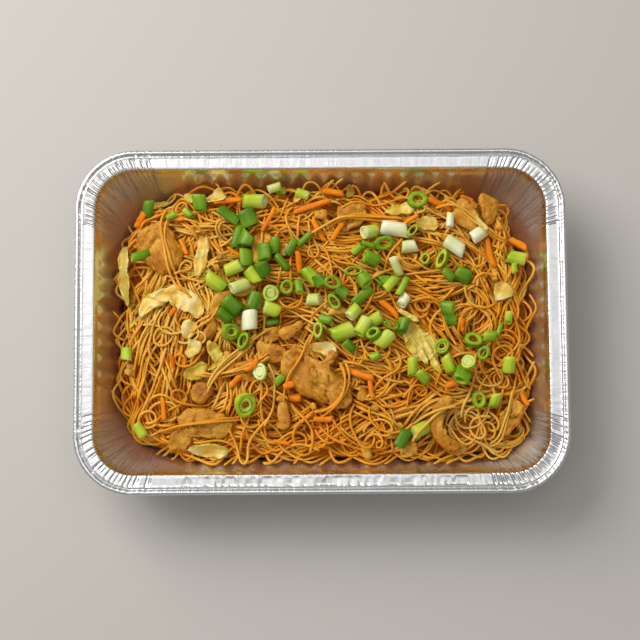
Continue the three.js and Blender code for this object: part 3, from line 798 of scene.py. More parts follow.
def walk(ground, x, y, angles, step, margin):
    """Places along the given headings, turned aside where they near the edge of the food."""
    aside = 0.0
    line = []
    for angle in angles:
        heading = angle + aside
        cell = ground.index(np.array((x, y)))
        near = 1 - (ground.room[cell] - margin) / EDGE_BAND
        in_x, in_y = ground.inward[cell]
        if near > 0 and math.cos(heading) * in_x + math.sin(heading) * in_y < 0.3:
            left = math.cos(heading) * in_y - math.sin(heading) * in_x
            aside += math.copysign(min(near, 2) * step * EDGE_TURN, left)
        x += math.cos(heading) * step
        y += math.sin(heading) * step
        line.append((x, y))
    return line


def strand_line(ground, x, y, heading, length, turn, waves, margin, loop=None):
    """A line that bends steadily, swings and may make a loop, with its middle at x, y."""
    count = max(int(length / STRAND_STEP), 6)
    s = np.linspace(-0.5, 0.5, count + 1) * length
    angle = heading + turn * s / length
    for amount, wavelength, phase in waves:
        angle = angle + amount * np.sin(2 * math.pi * s / wavelength + phase)
    if loop is not None:
        at, reach, way = loop
        angle = angle + way * 2 * math.pi * np.clip((s - at) / reach + 0.5, 0, 1)
    half = count // 2
    back = walk(ground, x, y, angle[half::-1] + math.pi, length / count, margin)
    ahead = walk(ground, x, y, angle[half:], length / count, margin)
    line = evened(np.array(back[::-1] + [(x, y)] + ahead), 3)
    return cut_at_edge(line, len(back), max(margin - 3, -1))


def hank(laid, ground, most_rise, x, y, heading, length, turn, width, strength=0.5):
    """A hank of strands that run side by side, drift over each other and end raggedly."""
    waves = random_waves(strength)
    strands = round(width / STRAND_SPACING)
    for n in rng.permutation(strands):
        offset = ((n + 0.5) / strands - 0.5) * width + rng.normal(0, 0.5)
        shift = rng.normal(0, length * 0.08)
        own = [(a * rng.uniform(0.88, 1.12), w * rng.uniform(0.98, 1.02), p + rng.normal(0, 0.12))
               for a, w, p in waves]
        own.append((rng.uniform(0.02, 0.1), rng.uniform(12, 22), rng.uniform(0, 6.3)))
        start = (x - math.sin(heading) * offset + math.cos(heading) * shift,
                 y + math.cos(heading) * offset + math.sin(heading) * shift)
        line = strand_line(ground, *start, heading + rng.normal(0, 0.035), length * rng.uniform(0.75, 1.1),
                           turn, own, rng.uniform(-1, 7))
        lay_strand(laid, ground, line, most_rise)


def lay_hanks(laid, ground, rows, most_rise):
    """Hanks at chosen places."""
    for x, y, heading, length, turn, width in rows:
        hank(laid, ground, most_rise, x, y, math.radians(heading), length, math.radians(turn), width)


def fill_hanks(laid, ground, count, most_rise):
    """Hanks laid where the heap is still lowest."""
    for _ in range(count):
        choices = []
        for _ in range(PLACES_TRIED):
            x, y = random_place(3)
            swirl = 1.4 * math.sin(x / 41 + 0.7) + 1.1 * math.cos(y / 33 - x / 70) + rng.normal(0, 0.5)
            length = rng.uniform(70, 135)
            heading = math.pi / 2 + swirl
            ahead = np.array([[math.cos(heading), math.sin(heading)]])
            along = np.linspace(-0.5, 0.5, 24)[:, None] * length * ahead
            cells = ground.index(keep_in(along + (x, y), 2))
            lack = np.minimum(ground.target[cells], ground.ceiling[cells] - 1) - ground.height[cells]
            choices.append((lack.mean(), x, y, heading, length))
        _, x, y, heading, length = max(choices)
        hank(laid, ground, most_rise, x, y, heading, length, rng.normal(0, 1.1), rng.uniform(9, 17), 0.8)


def edge_strands(laid, ground, count):
    """Short strands along the edge of the food, where it meets the wall."""
    for n in range(count):
        angle = 2 * math.pi * (n + rng.uniform()) / count
        out = np.array([math.cos(angle) * HEAP_HALF_X, math.sin(angle) * HEAP_HALF_Y]) * 1.5
        x, y = keep_in(out[None], rng.uniform(-2, 6))[0]
        in_x, in_y = ground.inward[ground.index(np.array((x, y)))]
        heading = math.atan2(in_y, in_x) + math.pi / 2 + rng.normal(0, 0.45)
        line = strand_line(ground, x, y, heading, rng.uniform(25, 70), rng.normal(0, 0.9),
                           random_waves(1.1), rng.uniform(-1, 3))
        lay_strand(laid, ground, line, HANK_RISE)


def curl(laid, ground, x, y, radius, turns, strands):
    """A few strands wound round a place."""
    start = rng.uniform(0, 6.3)
    way = rng.choice([-1, 1])
    for _ in range(strands):
        size = radius + rng.normal(0, 1.2)
        count = max(int(2 * math.pi * size * turns / STRAND_STEP), 8)
        angle = start + rng.normal(0, 0.4) + way * np.linspace(0, 2 * math.pi * turns, count)
        grow = size * np.linspace(0.7, 1.25, count) * (1 + 0.1 * np.sin(angle * 2 + rng.uniform(0, 6)))
        middle = keep_in(np.array([[x, y]]) + rng.normal(0, 1.3, 2), size)[0]
        xy = middle + np.stack([np.cos(angle) * grow, np.sin(angle) * grow * rng.uniform(0.75, 1)], axis=1)
        lay_strand(laid, ground, cut_at_edge(xy, count // 2, -1), CURL_RISE)


def loose_strands(laid, ground, count):
    """Single strands that wander and loop over what is low enough to lie on, but not over covered cells,
    until the count is reached."""
    for _ in range(count * 20):
        if len(laid) >= count:
            break
        x, y = random_place(3)
        length = rng.uniform(35, 110)
        loop = None
        if rng.uniform() < 0.45:
            loop = (rng.uniform(-0.2, 0.2) * length, rng.uniform(24, 55), rng.choice([-1, 1]))
        line = strand_line(ground, x, y, rng.uniform(0, 6.3), length, rng.normal(0, 1.2), random_waves(1.3),
                           rng.uniform(0, 6), loop)
        if not ground.covered[ground.index(line)].any():
            lay_strand(laid, ground, line, LOOSE_RISE)


def strand_piece(name, strands, ground, material):
    """One piece of closed tubes, each strand with its own tint and with painted shade where it lies deep.
    """
    turn = round_angles(STRAND_SIDES)
    batch = Batch()
    for path, radius in strands:
        steps = np.arange(len(path))
        tangent = np.gradient(path, axis=0)
        tangent /= np.linalg.norm(tangent, axis=1)[:, None]
        side = np.cross((0, 0, 1), tangent)
        side /= np.maximum(np.linalg.norm(side, axis=1), 1e-6)[:, None]
        up = np.cross(tangent, side)
        thick = radius * (1 + 0.07 * np.sin(steps / rng.uniform(1.5, 4) + rng.uniform(0, 6)))
        thick[[0, -1]] *= 0.55
        around = np.cos(turn)[None, :, None] * side[:, None] + np.sin(turn)[None, :, None] * up[:, None]
        points = (path[:, None] + around * thick[:, None, None]).reshape(-1, 3)
        # Painted shade: strands that lie below the heap's surface are darkened towards a deeper colour
        sunk_shade = smooth((ground.target[ground.index(path[:, :2])] + 0.5 - path[:, 2]) / 5.5)
        tone = rng.normal(0.45, 0.12) + 0.1 * np.sin(steps / rng.uniform(4, 12) + rng.uniform(0, 6))
        tone += 0.25 * flat_noise(path[:, 0] / 34, path[:, 1] / 34)
        tint = stain(linear(NOODLE_PALE), NOODLE_GOLD, np.clip(tone * 2, 0, 1))
        tint = stain(tint, NOODLE_AMBER, np.clip(tone * 2 - 1, 0, 1))
        tint = np.repeat(stain(tint, NOODLE_DEEP_SHADE, 0.4 * sunk_shade), STRAND_SIDES, axis=0)
        along = np.repeat(steps * STRAND_STEP, STRAND_SIDES)
        pattern = np.stack([along, np.tile(turn, len(path)) + rng.uniform(0, 50)], axis=1)
        batch.add(points, tube_faces(len(path), STRAND_SIDES), tint, pattern)
    batch.piece(name, material, "noodle")


def noodle_bed(ground, material):
    """The closed body under the loose noodles: it fills what shows between them."""
    s, t = spread(np.linspace(-1, 1, BED_ROWS), np.linspace(-1, 1, BED_COLUMNS))
    xy = keep_in(np.stack([s * HEAP_HALF_X, t * HEAP_HALF_Y], axis=1), BED_MARGIN)
    top = np.maximum(ground.target[ground.index(xy)] - BED_DEPTH, wall_level(xy) + 0.4)
    low_xy = xy * (0.9, 0.88)
    low = np.maximum(wall_level(low_xy) + 0.3, 3)
    points = np.concatenate([np.column_stack([xy, top]), np.column_stack([low_xy, low])])
    tint = np.tile(linear(NOODLE_AMBER), (len(points), 1))
    batch = Batch()
    batch.add(points, [closed_sheet_faces(BED_ROWS, BED_COLUMNS)], tint, points[:, :2])
    return batch.piece("noodle_bed", material, "noodle")


def heap(nodes, ground, material):
    """The noodles up to the surface: hanks that fill the tray, then the main hanks and curls of the
    photograph. What comes later lies on the solids of the toppings too."""
    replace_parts(noodle_bed(ground, material), "noodles")
    layers = {"deep": [], "middle": [], "edge": [], "hanks": [], "top": []}
    edge_strands(layers["edge"], ground, EDGE_STRANDS)
    fill_hanks(layers["deep"], ground, FILL_HANKS, FILL_RISE)
    fill_hanks(layers["middle"], ground, FILL_HANKS, FILL_RISE)
    edge_strands(layers["edge"], ground, EDGE_STRANDS)
    lay_hanks(layers["hanks"], ground, HANKS, HANK_RISE)
    fill_hanks(layers["top"], ground, TOP_HANKS, HANK_RISE)
    for row in CURLS:
        curl(layers["top"], ground, *row, CURL_STRANDS)
    for name, strands in layers.items():
        strand_piece(f"noodles_{name}", strands, ground, material)
    for name, node in topping_nodes(nodes).items():
        top = ground.trace(node)
        ground.height = np.maximum(ground.height, top + TOPPING_GAP)
        if not name.startswith("chicken"):
            ground.covered |= top > 0


# Materials

def new_material(name):
    """A new material, with its nodes, links and shader."""
    material = bpy.data.materials.new(name)
    material.use_nodes = True
    tree = material.node_tree
    return material, tree.nodes, tree.links, tree.nodes["Principled BSDF"]


def tint_colour(nodes):
    """The tint of each point."""
    tint = nodes.new("ShaderNodeAttribute")
    tint.attribute_name = "tint"
    return tint.outputs["Color"]


def pattern_noise(nodes, links, scale, stretch, detail):
    """Noise over the pattern coordinates, stretched along each of them."""
    source = nodes.new("ShaderNodeUVMap")
    source.uv_map = "pattern"
    mapping = nodes.new("ShaderNodeMapping")
    mapping.inputs["Scale"].default_value = stretch
    texture = nodes.new("ShaderNodeTexNoise")
    texture.inputs["Scale"].default_value = scale
    texture.inputs["Detail"].default_value = detail
    links.new(source.outputs["UV"], mapping.inputs["Vector"])
    links.new(mapping.outputs["Vector"], texture.inputs["Vector"])
    return texture.outputs["Fac"]


def ranged(nodes, links, value, low, high):
    """A noise value spread from low to high."""
    level = nodes.new("ShaderNodeMapRange")
    for socket, number in (("From Min", 0.3), ("From Max", 0.7), ("To Min", low), ("To Max", high)):
        level.inputs[socket].default_value = number
    links.new(value, level.inputs["Value"])
    return level.outputs["Result"]


def raise_surface(nodes, links, shader, height, depth):
    """Raises the look of the surface by a pattern, to a depth in millimetres."""
    bump = nodes.new("ShaderNodeBump")
    bump.inputs["Distance"].default_value = depth * MM
    links.new(height, bump.inputs["Height"])
    links.new(bump.outputs["Normal"], shader.inputs["Normal"])


def food_material(name, scale, stretch, change, depth, roughness, specular, entering):
    """A material coloured by the tint, varied by a fine pattern that also raises the surface."""
    material, nodes, links, shader = new_material(name)
    shader.inputs["Roughness"].default_value = roughness
    shader.inputs["Specular IOR Level"].default_value = specular
    shader.inputs["Specular Tint"].default_value = OILY
    shader.inputs["Subsurface Weight"].default_value = entering
    shader.inputs["Subsurface Radius"].default_value = SPREAD_COLOUR
    shader.inputs["Subsurface Scale"].default_value = SPREAD * MM
    fine = pattern_noise(nodes, links, scale, stretch, 4)
    shade = nodes.new("ShaderNodeVectorMath")
    shade.operation = "SCALE"
    links.new(tint_colour(nodes), shade.inputs[0])
    links.new(ranged(nodes, links, fine, 1 - change, 1 + change), shade.inputs["Scale"])
    links.new(shade.outputs["Vector"], shader.inputs["Base Color"])
    raise_surface(nodes, links, shader, fine, depth)
    return material


def foil_material():
    """Rolled aluminium with fine creases across the rim, dull with oil on the inner wall."""
    material, nodes, links, shader = new_material("foil")
    shader.inputs["Metallic"].default_value = 1
    shader.inputs["Base Color"].default_value = (*linear(FOIL_COLOUR), 1)
    parts = nodes.new("ShaderNodeSeparateColor")
    rough = nodes.new("ShaderNodeMath")
    rough.operation = "ADD"
    cloudy = pattern_noise(nodes, links, CLOUD_SCALE, (1, 1, 1), 3)
    links.new(tint_colour(nodes), parts.inputs["Color"])
    links.new(parts.outputs["Red"], rough.inputs[0])
    links.new(ranged(nodes, links, cloudy, *CLOUD_DULL), rough.inputs[1])
    links.new(rough.outputs["Value"], shader.inputs["Roughness"])
    crosswise = pattern_noise(nodes, links, GRAIN_SCALE, GRAIN_STRETCH, 5)
    raise_surface(nodes, links, shader, crosswise, GRAIN_DEPTH)
    return material


# Foil tray

def tray_columns():
    """Places round the tray: end of the spine and turn of the side, distance along the rim, flute wave, and
    how far round a corner the place lies, or less than 0 on a straight side. Then the length of the rim."""
    spine_x = LENGTH / 2 - CORNER - CORNER_WIDENS
    spine_y = WIDTH / 2 - CORNER - CORNER_WIDENS
    ends = [(spine_x, spine_y), (-spine_x, spine_y), (-spine_x, -spine_y), (spine_x, -spine_y)]
    bend = 2 * CORNER_WIDENS + CORNER * math.pi / 2
    rows = []
    travelled = 0
    for n, (x, y) in enumerate(ends):
        turn = n * math.pi / 2
        from_x, from_y = ends[n - 1]
        flutes = FLUTES_SHORT if n % 2 == 0 else FLUTES_LONG
        steps = NEAR_STEPS if n == 3 else FLUTE_STEPS
        span = math.hypot(x - from_x, y - from_y)
        for t in np.linspace(0, 1, flutes * steps, endpoint=False):
            wave = math.sin(2 * math.pi * t * flutes) * smooth(min(t, 1 - t) * flutes / 0.8)
            rows.append((mix(from_x, x, t), mix(from_y, y, t), turn, travelled + t * span, wave, -1))
        travelled += span
        for share in np.linspace(0, 1, CORNER_STEPS, endpoint=False):
            rows.append((x, y, turn, travelled + share * bend, 0, share))
        travelled += bend
    return np.array(rows).T, travelled


def corner_place(share, reach, wide):
    """Places in the first corner from the spine's end, along one side, round the turn and along the next,
    and the way out there."""
    straight = CORNER_WIDENS - wide
    radius = reach + wide
    distance = share * (2 * straight + radius * math.pi / 2)
    angle = np.clip((distance - straight) / radius, 0, math.pi / 2)
    out = np.stack([np.cos(angle), np.sin(angle)], axis=1)
    place = straight + radius * out
    place[:, 1] -= np.maximum(straight - distance, 0)
    place[:, 0] -= np.maximum(distance - straight - radius * math.pi / 2, 0)
    return place, out


def skin_rows(skin):
    """Rows between the points of a skin: inset from the edge, height, and share of the flutes."""
    rows = []
    for (inset, z, steps, flute, next_flute), (next_inset, next_z, *_) in zip(skin, skin[1:]):
        for t in np.linspace(0, 1, steps, endpoint=False):
            rows.append((mix(inset, next_inset, t), mix(z, next_z, t), mix(flute, next_flute, t)))
    return rows


def tray_profile():
    """The rows of the whole skin, with the rolled edge between the inside and the outside."""
    roll = [(ROLL_RADIUS - ROLL_RADIUS * math.cos(angle), ROLL_LEVEL + ROLL_RISE * math.sin(angle), 0)
            for angle in np.radians(np.linspace(*ROLL_ANGLES, ROLL_STEPS))]
    return np.array(skin_rows(INNER_SKIN) + roll + skin_rows(OUTER_SKIN))


def corner_creases():
    """Creases pressed into each corner: place along the rim, width, depth, lean, and the inset and height
    where they end."""
    quarter = CORNER * math.pi / 2
    long_side = LENGTH - 2 * CORNER
    short_side = WIDTH - 2 * CORNER
    creases = []
    start = -CORNER_WIDENS
    for side in (short_side, long_side, short_side, long_side):
        start += side
        for place in np.linspace(-9, quarter + 9, CORNER_CREASES):
            place = start + place + rng.normal(0, 0.7)
            width = rng.uniform(0.35, 0.6)
            depth = rng.uniform(0.7, 1.6)
            lean = rng.normal(0, 0.08)
            creases.append((place, width, depth, lean, rng.uniform(4.8, 7.5), rng.uniform(8, 36)))
        start += quarter
    return creases


def crease_depth(creases, along, round_trip, inset, z):
    """How deep the creases are pressed along one row of the skin."""
    pressed = np.zeros(len(along))
    for place, width, depth, lean, first, low in creases:
        if inset < first or z < low:
            continue
        fade = min((inset - first) / 2 + 0.3, (z - low) / 6, 1)
        off = along - place - lean * (z - 50)
        off -= round_trip * np.round(off / round_trip)
        pressed += depth * fade * np.exp(-(off / width) ** 2)
    return pressed


def foil_tray(material):
    """The tray as one closed skin, fluted on its straight walls and creased at its corners."""
    (x, y, turn, along, wave, share), round_trip = tray_columns()
    profile = tray_profile()
    creases = corner_creases()
    in_corner = smooth(5 * np.minimum(share, 1 - share) - 0.2)
    wall_dull = WALL_DULL + CORNER_DULL * in_corner
    lap = along / round_trip * 2 * math.pi
    swell = np.sin(lap * 5) + 0.6 * np.sin(lap * 11 + 1)
    near = np.abs(turn - 1.5 * math.pi) < 0.1
    rippled = np.where(near, NEAR_RIPPLE, OTHER_RIPPLE) * np.where(share < 0, 1, 0.5)
    both_ways = np.minimum(along, round_trip - along)
    points = []
    patterns = []
    dull = []
    outside = np.argmin(profile[:, 0])
    travelled = 0
    for n, (inset, z, flute) in enumerate(profile):
        if inset < ROLL_INSET:
            pressed = 0.28 * in_corner * flat_noise(along / 1.3, inset / 2.5)
            flat = 0.6
        else:
            pressed = crease_depth(creases, along, round_trip, inset, z)
            flat = smooth((z - 47) / 4)
        wide = CORNER_WIDENS * np.clip((WALL_TOP[1] - z) / (WALL_TOP[1] - WALL_FOOT[1]), 0, 1)
        place, out = corner_place(np.maximum(share, 0), CORNER - inset, wide)
        straight = np.column_stack([CORNER_WIDENS + CORNER - inset + wave * flute * FLUTE_DEPTH, 0 * wave])
        creased = place + out * (WALL_CREASE * pressed * (1 - flat))[:, None]
        u, v = np.where(share[:, None] < 0, straight, creased).T
        lift = 0.1 * swell * smooth((z - 30) / 20) - pressed * flat
        if RIPPLE_INSETS[0] < inset < RIPPLE_INSETS[1]:
            ripple = 0.5 + flat_noise(along / 2.2, inset / 6)
            from_fade = min(inset - RIPPLE_FADES[0], RIPPLE_FADES[1] - inset)
            lift = lift - ripple * rippled * smooth(from_fade / 1.6)
        points.append(np.column_stack([x + u * np.cos(turn) - v * np.sin(turn),
                                       y + u * np.sin(turn) + v * np.cos(turn), z + lift]))
        if n:
            travelled += math.hypot(inset - profile[n - 1][0], z - profile[n - 1][1])
        patterns.append(np.column_stack([both_ways, np.full(len(along), travelled)]))
        dull.append(mix(wall_dull, RIM_DULL, smooth((z - 40) / 9) if n < outside else 1))
    points = np.concatenate(points)
    points[:, 2] = np.clip(points[:, 2], 0, HEIGHT)
    tint = np.repeat(np.concatenate(dull)[:, None], 3, axis=1)
    faces = [f[:, ::-1] for f in tube_faces(len(profile), len(along))]
    batch = Batch()
    batch.add(points, faces, tint, np.concatenate(patterns))
    return batch.piece("foil_tray", material, "foil")


# Toppings

def own_axes(points):
    """The middle of a shape and its long, middle and short directions, the short one pointing up."""
    middle = (points.min(axis=0) + points.max(axis=0)) / 2
    _, _, axes = np.linalg.svd(points - points.mean(axis=0), full_matrices=False)
    if axes[2][2] < 0:
        axes[2] = -axes[2]
    axes[1] = np.cross(axes[2], axes[0])
    return middle, axes


def turned(heading, lean=(0.0, 0.0)):
    """Directions of a piece that lies along a heading, leaning a little."""
    turn = Matrix.Rotation(math.radians(heading), 3, "Z") @ Matrix.Rotation(lean[0], 3, "X")
    return np.array(turn @ Matrix.Rotation(lean[1], 3, "Y")).T


def footprint(ground, x, y, length, width, heading, share):
    """The height that a piece rests at, between the mean and the top of what is under it, and its cells."""
    t, s = spread(np.linspace(-0.5, 0.5, 15), np.linspace(-0.5, 0.5, 21))
    turn = math.radians(heading)
    cells = ground.index(np.stack([x + s * length * math.cos(turn) - t * width * math.sin(turn),
                                   y + s * length * math.sin(turn) + t * width * math.cos(turn)], axis=1))
    heights = ground.height[cells]
    return mix(heights.mean(), np.percentile(heights, 95), share), cells


def rest_on(ground, x, y, length, width, heading, share, lift, rise):
    """The middle of a small piece that rests on what lies there and raises the ground."""
    level, cells = footprint(ground, x, y, length, width, heading, share)
    ground.raise_to(cells, level + rise)
    return np.array([x, y, level + lift])


def bent_bar(length, bend, t):
    """Places along a bar bent by an angle, for t from -0.5 to 0.5, and its sideways directions."""
    angle = t * math.radians(bend)
    if abs(bend) < 0.1:
        return np.stack([t * length, 0 * t], axis=1), np.stack([0 * t, 0 * t + 1], axis=1)
    radius = length / math.radians(bend)
    place = np.stack([radius * np.sin(angle), radius * (1 - np.cos(angle))], axis=1)
    return place, np.stack([-np.sin(angle), np.cos(angle)], axis=1)


def square_grid(length, width, spacing):
    """Rows, columns and places from -1 to 1 of a grid over a piece, stored row by row."""
    rows = max(int(length / spacing), 12)
    columns = max(int(width / spacing), 10)
    return rows, columns, *spread(np.linspace(-1, 1, rows), np.linspace(-1, 1, columns))


def meat(batch, place, axes, length, width, height, bend):
    """A slice of cooked meat: a slab with an uneven outline, some clefts darkened with painted shade,
    fibre, pores and dark specks.
    """
    rows, columns, s, k = square_grid(length, width, MEAT_GRID)
    seed = place * 0.37
    dome = np.maximum(np.cos(s * math.pi / 2) * np.cos(k * math.pi / 2), 0.001) ** 0.36
    s = np.sin(s * math.pi / 2)
    k = np.sin(k * math.pi / 2)
    across = k * np.sqrt(1 - 0.35 * s ** 2) * (1 + rng.uniform(-0.2, 0.2) * s) * width / 2
    along = s * np.sqrt(1 - 0.35 * k ** 2) * length / 2 + rng.uniform(-0.3, 0.3) * across
    local = np.column_stack([along, across, 0 * s])
    size = min(width / 14, 1.2)
    for reach, amount in ((9, 2.2), (3.5, 0.9)):
        shift = np.column_stack([noise(local / reach + seed), noise(local / reach + seed + 20)])
        local[:, :2] += shift * amount * size
    lobes = rng.uniform(-0.5, 0.5, (2 + int(length * width / 320), 2)) * (length, width)
    sway = np.column_stack([noise(local / 4 + seed + 11), noise(local / 4 + seed + 12)])
    bent = local[:, :2] + 1.6 * sway
    nearest = np.sort(np.hypot(*((bent[:, None] - lobes) * (0.7, 1)).transpose(2, 0, 1)), axis=1)[:, :2]
    cleft = smooth(1 - (nearest[:, 1] - nearest[:, 0]) / 1.8) * smooth(0.6 + noise(local / 7 + seed + 5))
    soft = noise(local / 8 + seed)
    lumps = noise(local / 3 + seed + 3)
    pores = noise(local / 1.2 + seed + 7)
    fibre = noise(local * (0.14, 0.75, 1) + seed + 15)
    speck = smooth((noise(local / 1.6 + seed + 8) - 0.62) / 0.1)
    relief = 1.4 * soft + 0.7 * lumps + 0.35 * pores + 0.6 * fibre - 1.8 * cleft - 0.4 * speck
    top = dome * (height / 2 + size * relief)
    tone = 0.42 + 0.45 * noise(local / 9 + seed * 2) + 0.2 * lumps + 0.2 * pores + 0.35 * fibre
    tint = stain(linear(CHICKEN_PALE), CHICKEN_GOLD, np.clip(tone * 1.6, 0, 1))
    # Browned where the tone is high and at the dark specks, and painted shade in the clefts
    browned_and_cleft_shade = np.clip(0.5 * (tone * 2 - 1.25) + 0.8 * cleft ** 2 + 0.95 * speck, 0, 0.95)
    tint = stain(tint, CHICKEN_BROWN_AND_SHADE, browned_and_cleft_shade)
    curved, side = bent_bar(length, bend, local[:, 0] / length)
    flat = curved + side * local[:, 1:2]
    points = np.concatenate([np.column_stack([flat, top]), np.column_stack([flat, -dome * height / 2])])
    batch.add_sheet(points @ axes + place, rows, columns, tint, local[:, :2])


def cabbage_leaf(batch, ground, rest, x, y, length, width, heading, bend, green, thick):
    """A torn and wilted leaf laid over the heap: ragged, creased along its ribs and turned up at its edges.
    rest is its height over the heap."""
    rows, columns, s, k = square_grid(length, width, LEAF_GRID)
    seed = np.array([x, y, 0]) * 0.31
    edge = np.sign(k) * 3
    torn = 0.26 * flat_noise(s * length / 13, edge, seed)
    torn += 0.08 * flat_noise(s * length / 4, edge, seed)
    end = 0.2 * flat_noise(k * width / 9, np.sign(s) * 5, seed) + rng.normal(0, 0.12) * k
    reach = s * (1 + end * np.abs(s) ** 3 * width / length) * (1 - 0.14 * k ** 4)
    half = width / 2 * (1 + torn) * (1 - 0.45 * np.abs(s) ** 5) * (1 + 0.28 * s)
    place, side = bent_bar(length, bend, reach / 2)
    xy = place + side * (k * half)[:, None]
    local = np.column_stack([s * length / 2, k * width / 2, 0 * s])
    xy = xy @ turned(heading)[:2, :2] + (x, y)
    crumple = noise(local / 6 + seed) + 0.4 * noise(local / 2.4 + seed)
    crease = np.clip(1 - 2.4 * np.abs(noise(local * (0.06, 0.2, 1) + seed + 4)), 0, 1)
    ribs = noise(local * (0.07, 0.9, 1) + seed + 9)
    frill = flat_noise(s * length / 3.2, edge, seed) * np.abs(k) ** 2
    level = ground.target[ground.index(xy)] + rest
    z = level + 1.2 * crumple + 0.9 * crease + 0.2 * ribs + 0.8 * frill + 0.6 * k ** 2
    body = thick / 2 * np.sqrt(np.maximum(1 - k ** 6, 0.05)) * np.sqrt(np.maximum(1 - s ** 12, 0.05))
    points = np.concatenate([np.column_stack([xy, z + body]), np.column_stack([xy, z - body])])
    amount = green + 0.35 * np.abs(k) - 0.55 * smooth(ribs + 0.3) + 0.2 * frill - 0.3 * crease
    tint = stain(linear(CABBAGE_PALE), CABBAGE_GREEN, np.clip(amount, 0, 1))
    tint = stain(tint, CABBAGE_WHITE, 0.7 * (1 - green) * smooth(0.1 + 1.4 * crumple + 0.5 * ribs))
    tint = stain(tint, CHICKEN_GOLD, 0.5 * smooth(-0.1 - 1.2 * crumple))
    batch.add_sheet(points, rows, columns, tint, local[:, :2])


def carrot_stick(batch, middle, axes, length, width, bend):
    """A cut stick with rounded edges and slanting ends, paler along one side."""
    t = np.linspace(-0.5, 0.5, CARROT_RINGS)
    place, side = bent_bar(length, bend, t)
    turn = round_angles(CARROT_SIDES) + math.pi / CARROT_SIDES
    square = (np.abs(np.cos(turn)) ** 5 + np.abs(np.sin(turn)) ** 5) ** -0.2
    taper = 1 - 0.65 * smooth((np.abs(t) * 2 - 0.86) / 0.14) - 0.25 * np.abs(t + rng.uniform(-0.3, 0.3))
    across = np.cos(turn) * square * width / 2
    up = np.sin(turn) * square * width * 0.4
    points = np.zeros((CARROT_RINGS, CARROT_SIDES, 3))
    points[:, :, :2] = place[:, None] + side[:, None] * (across[None, :] * taper[:, None])[:, :, None]
    points[:, :, 2] = up[None, :] * taper[:, None] + 0.5 * np.sin(t * rng.uniform(2, 5))[:, None]
    points[:, :, 0] += rng.uniform(-0.4, 0.4) * across[None, :] * np.sign(t)[:, None]
    local = points.reshape(-1, 3)
    local = local + 0.2 * noise(local / 2.2 + middle)[:, None] * (0, 1, 1)
    amount = smooth(0.45 + 0.7 * noise(local * (0.12, 0.5, 0.5) + middle))
    tint = stain(linear(CARROT_BRIGHT), CARROT_DEEP, amount)
    batch.add(middle + local @ axes, tube_faces(CARROT_RINGS, CARROT_SIDES), tint, local[:, :2])


def onion_colour(shade):
    """From the white foot through light green to the dark leaf."""
    colour = stain(linear(ONION_WHITE), ONION_LIGHT, np.clip(shade / LIGHT_SHADE, 0, 1))
    colour = stain(colour, ONION_MID, smooth((shade - LIGHT_SHADE) / SHADE_STEP))
    return stain(colour, ONION_DARK, smooth((shade - MID_SHADE) / SHADE_STEP))


def onion_layer(batch, middle, axes, length, radius, wall, shade, oval, fade):
    """One hollow layer of a cut stem that lies along X: outside, cut ends and a paler inside."""
    turn = round_angles(ONION_SIDES)
    half = length / 2
    hole = radius - wall
    lip = min(0.3, wall * 0.4)
    rows = [(-half + lip, radius), (-half * 0.5, radius * 1.01), (0, radius * 1.02),
            (half * 0.5, radius * 1.01), (half - lip, radius), (half, radius - lip), (half, hole + lip),
            (half - lip, hole), (0, hole), (-half + lip, hole), (-half, hole + lip), (-half, radius - lip)]
    wobble = 1 + 0.05 * np.sin(2 * turn + rng.uniform(0, 6)) + 0.03 * np.sin(3 * turn + rng.uniform(0, 6))
    slant = rng.normal(0, 0.2, (2, 2))
    points = []
    shades = []
    for x, r in rows:
        ring = np.column_stack([np.full(ONION_SIDES, x), np.cos(turn) * r * wobble * oval,
                                np.sin(turn) * r * wobble / oval])
        ring[:, 0] += ring[:, 1:] @ slant[int(x > 0)] * abs(x) / half
        points.append(ring)
        paler = 0.2 * smooth((radius - r) / wall * 1.5)
        shades.append(np.clip(shade * (1 - paler) + fade * x / half + 0.035 * np.sin(7 * turn), 0, 1))
    along = np.repeat([x for x, _ in rows], ONION_SIDES)
    pattern = np.column_stack([along, np.tile(turn * radius, len(rows))])
    batch.add(middle + np.concatenate(points) @ axes, [sheet_faces(len(rows), ONION_SIDES, True, True)],
              onion_colour(np.concatenate(shades)), pattern)


def onion_core(batch, middle, axes, length, radius, shade, fade):
    """The closed heart of a cut stem, dimpled at its ends."""
    turn = round_angles(ONION_SIDES)
    half = length / 2
    rows = [(-half + 0.5, radius * 0.25), (-half + 0.1, radius * 0.7), (-half + 0.3, radius),
            (half - 0.3, radius), (half - 0.1, radius * 0.7), (half - 0.5, radius * 0.25)]
    points = np.concatenate([np.column_stack([np.full(ONION_SIDES, x), np.cos(turn) * r, np.sin(turn) * r])
                             for x, r in rows])
    shades = np.repeat([np.clip(shade * 0.75 + fade * x / half, 0, 1) for x, _ in rows], ONION_SIDES)
    faces = tube_faces(len(rows), ONION_SIDES)
    batch.add(middle + points @ axes, faces, onion_colour(shades), points[:, :2])


def onion_stem(batch, middle, axes, length, radius, shade):
    """A cut stem: a pale one has layers round a heart, a darker one is a hollow leaf, often flattened."""
    fade = rng.choice([-1, 1]) * rng.uniform(0.03, 0.12)
    if shade > HOLLOW_SHADE:
        oval = rng.uniform(1.0, 1.45)
        wall = radius * rng.uniform(0.34, 0.48)
        onion_layer(batch, middle, axes, length, radius, wall, shade, oval, fade)
        return
    oval = rng.uniform(0.95, 1.06)
    onion_layer(batch, middle, axes, length, radius, radius * 0.34, shade, oval, fade)
    if shade > 0.44 and rng.uniform() < 0.6:
        onion_layer(batch, middle, axes, length - 0.6, radius * 0.62, radius * 0.25, shade * 0.8, oval,
                    fade)
    else:
        onion_core(batch, middle, axes, length - 0.3, radius * 0.64 * min(oval, 1 / oval), shade, fade)


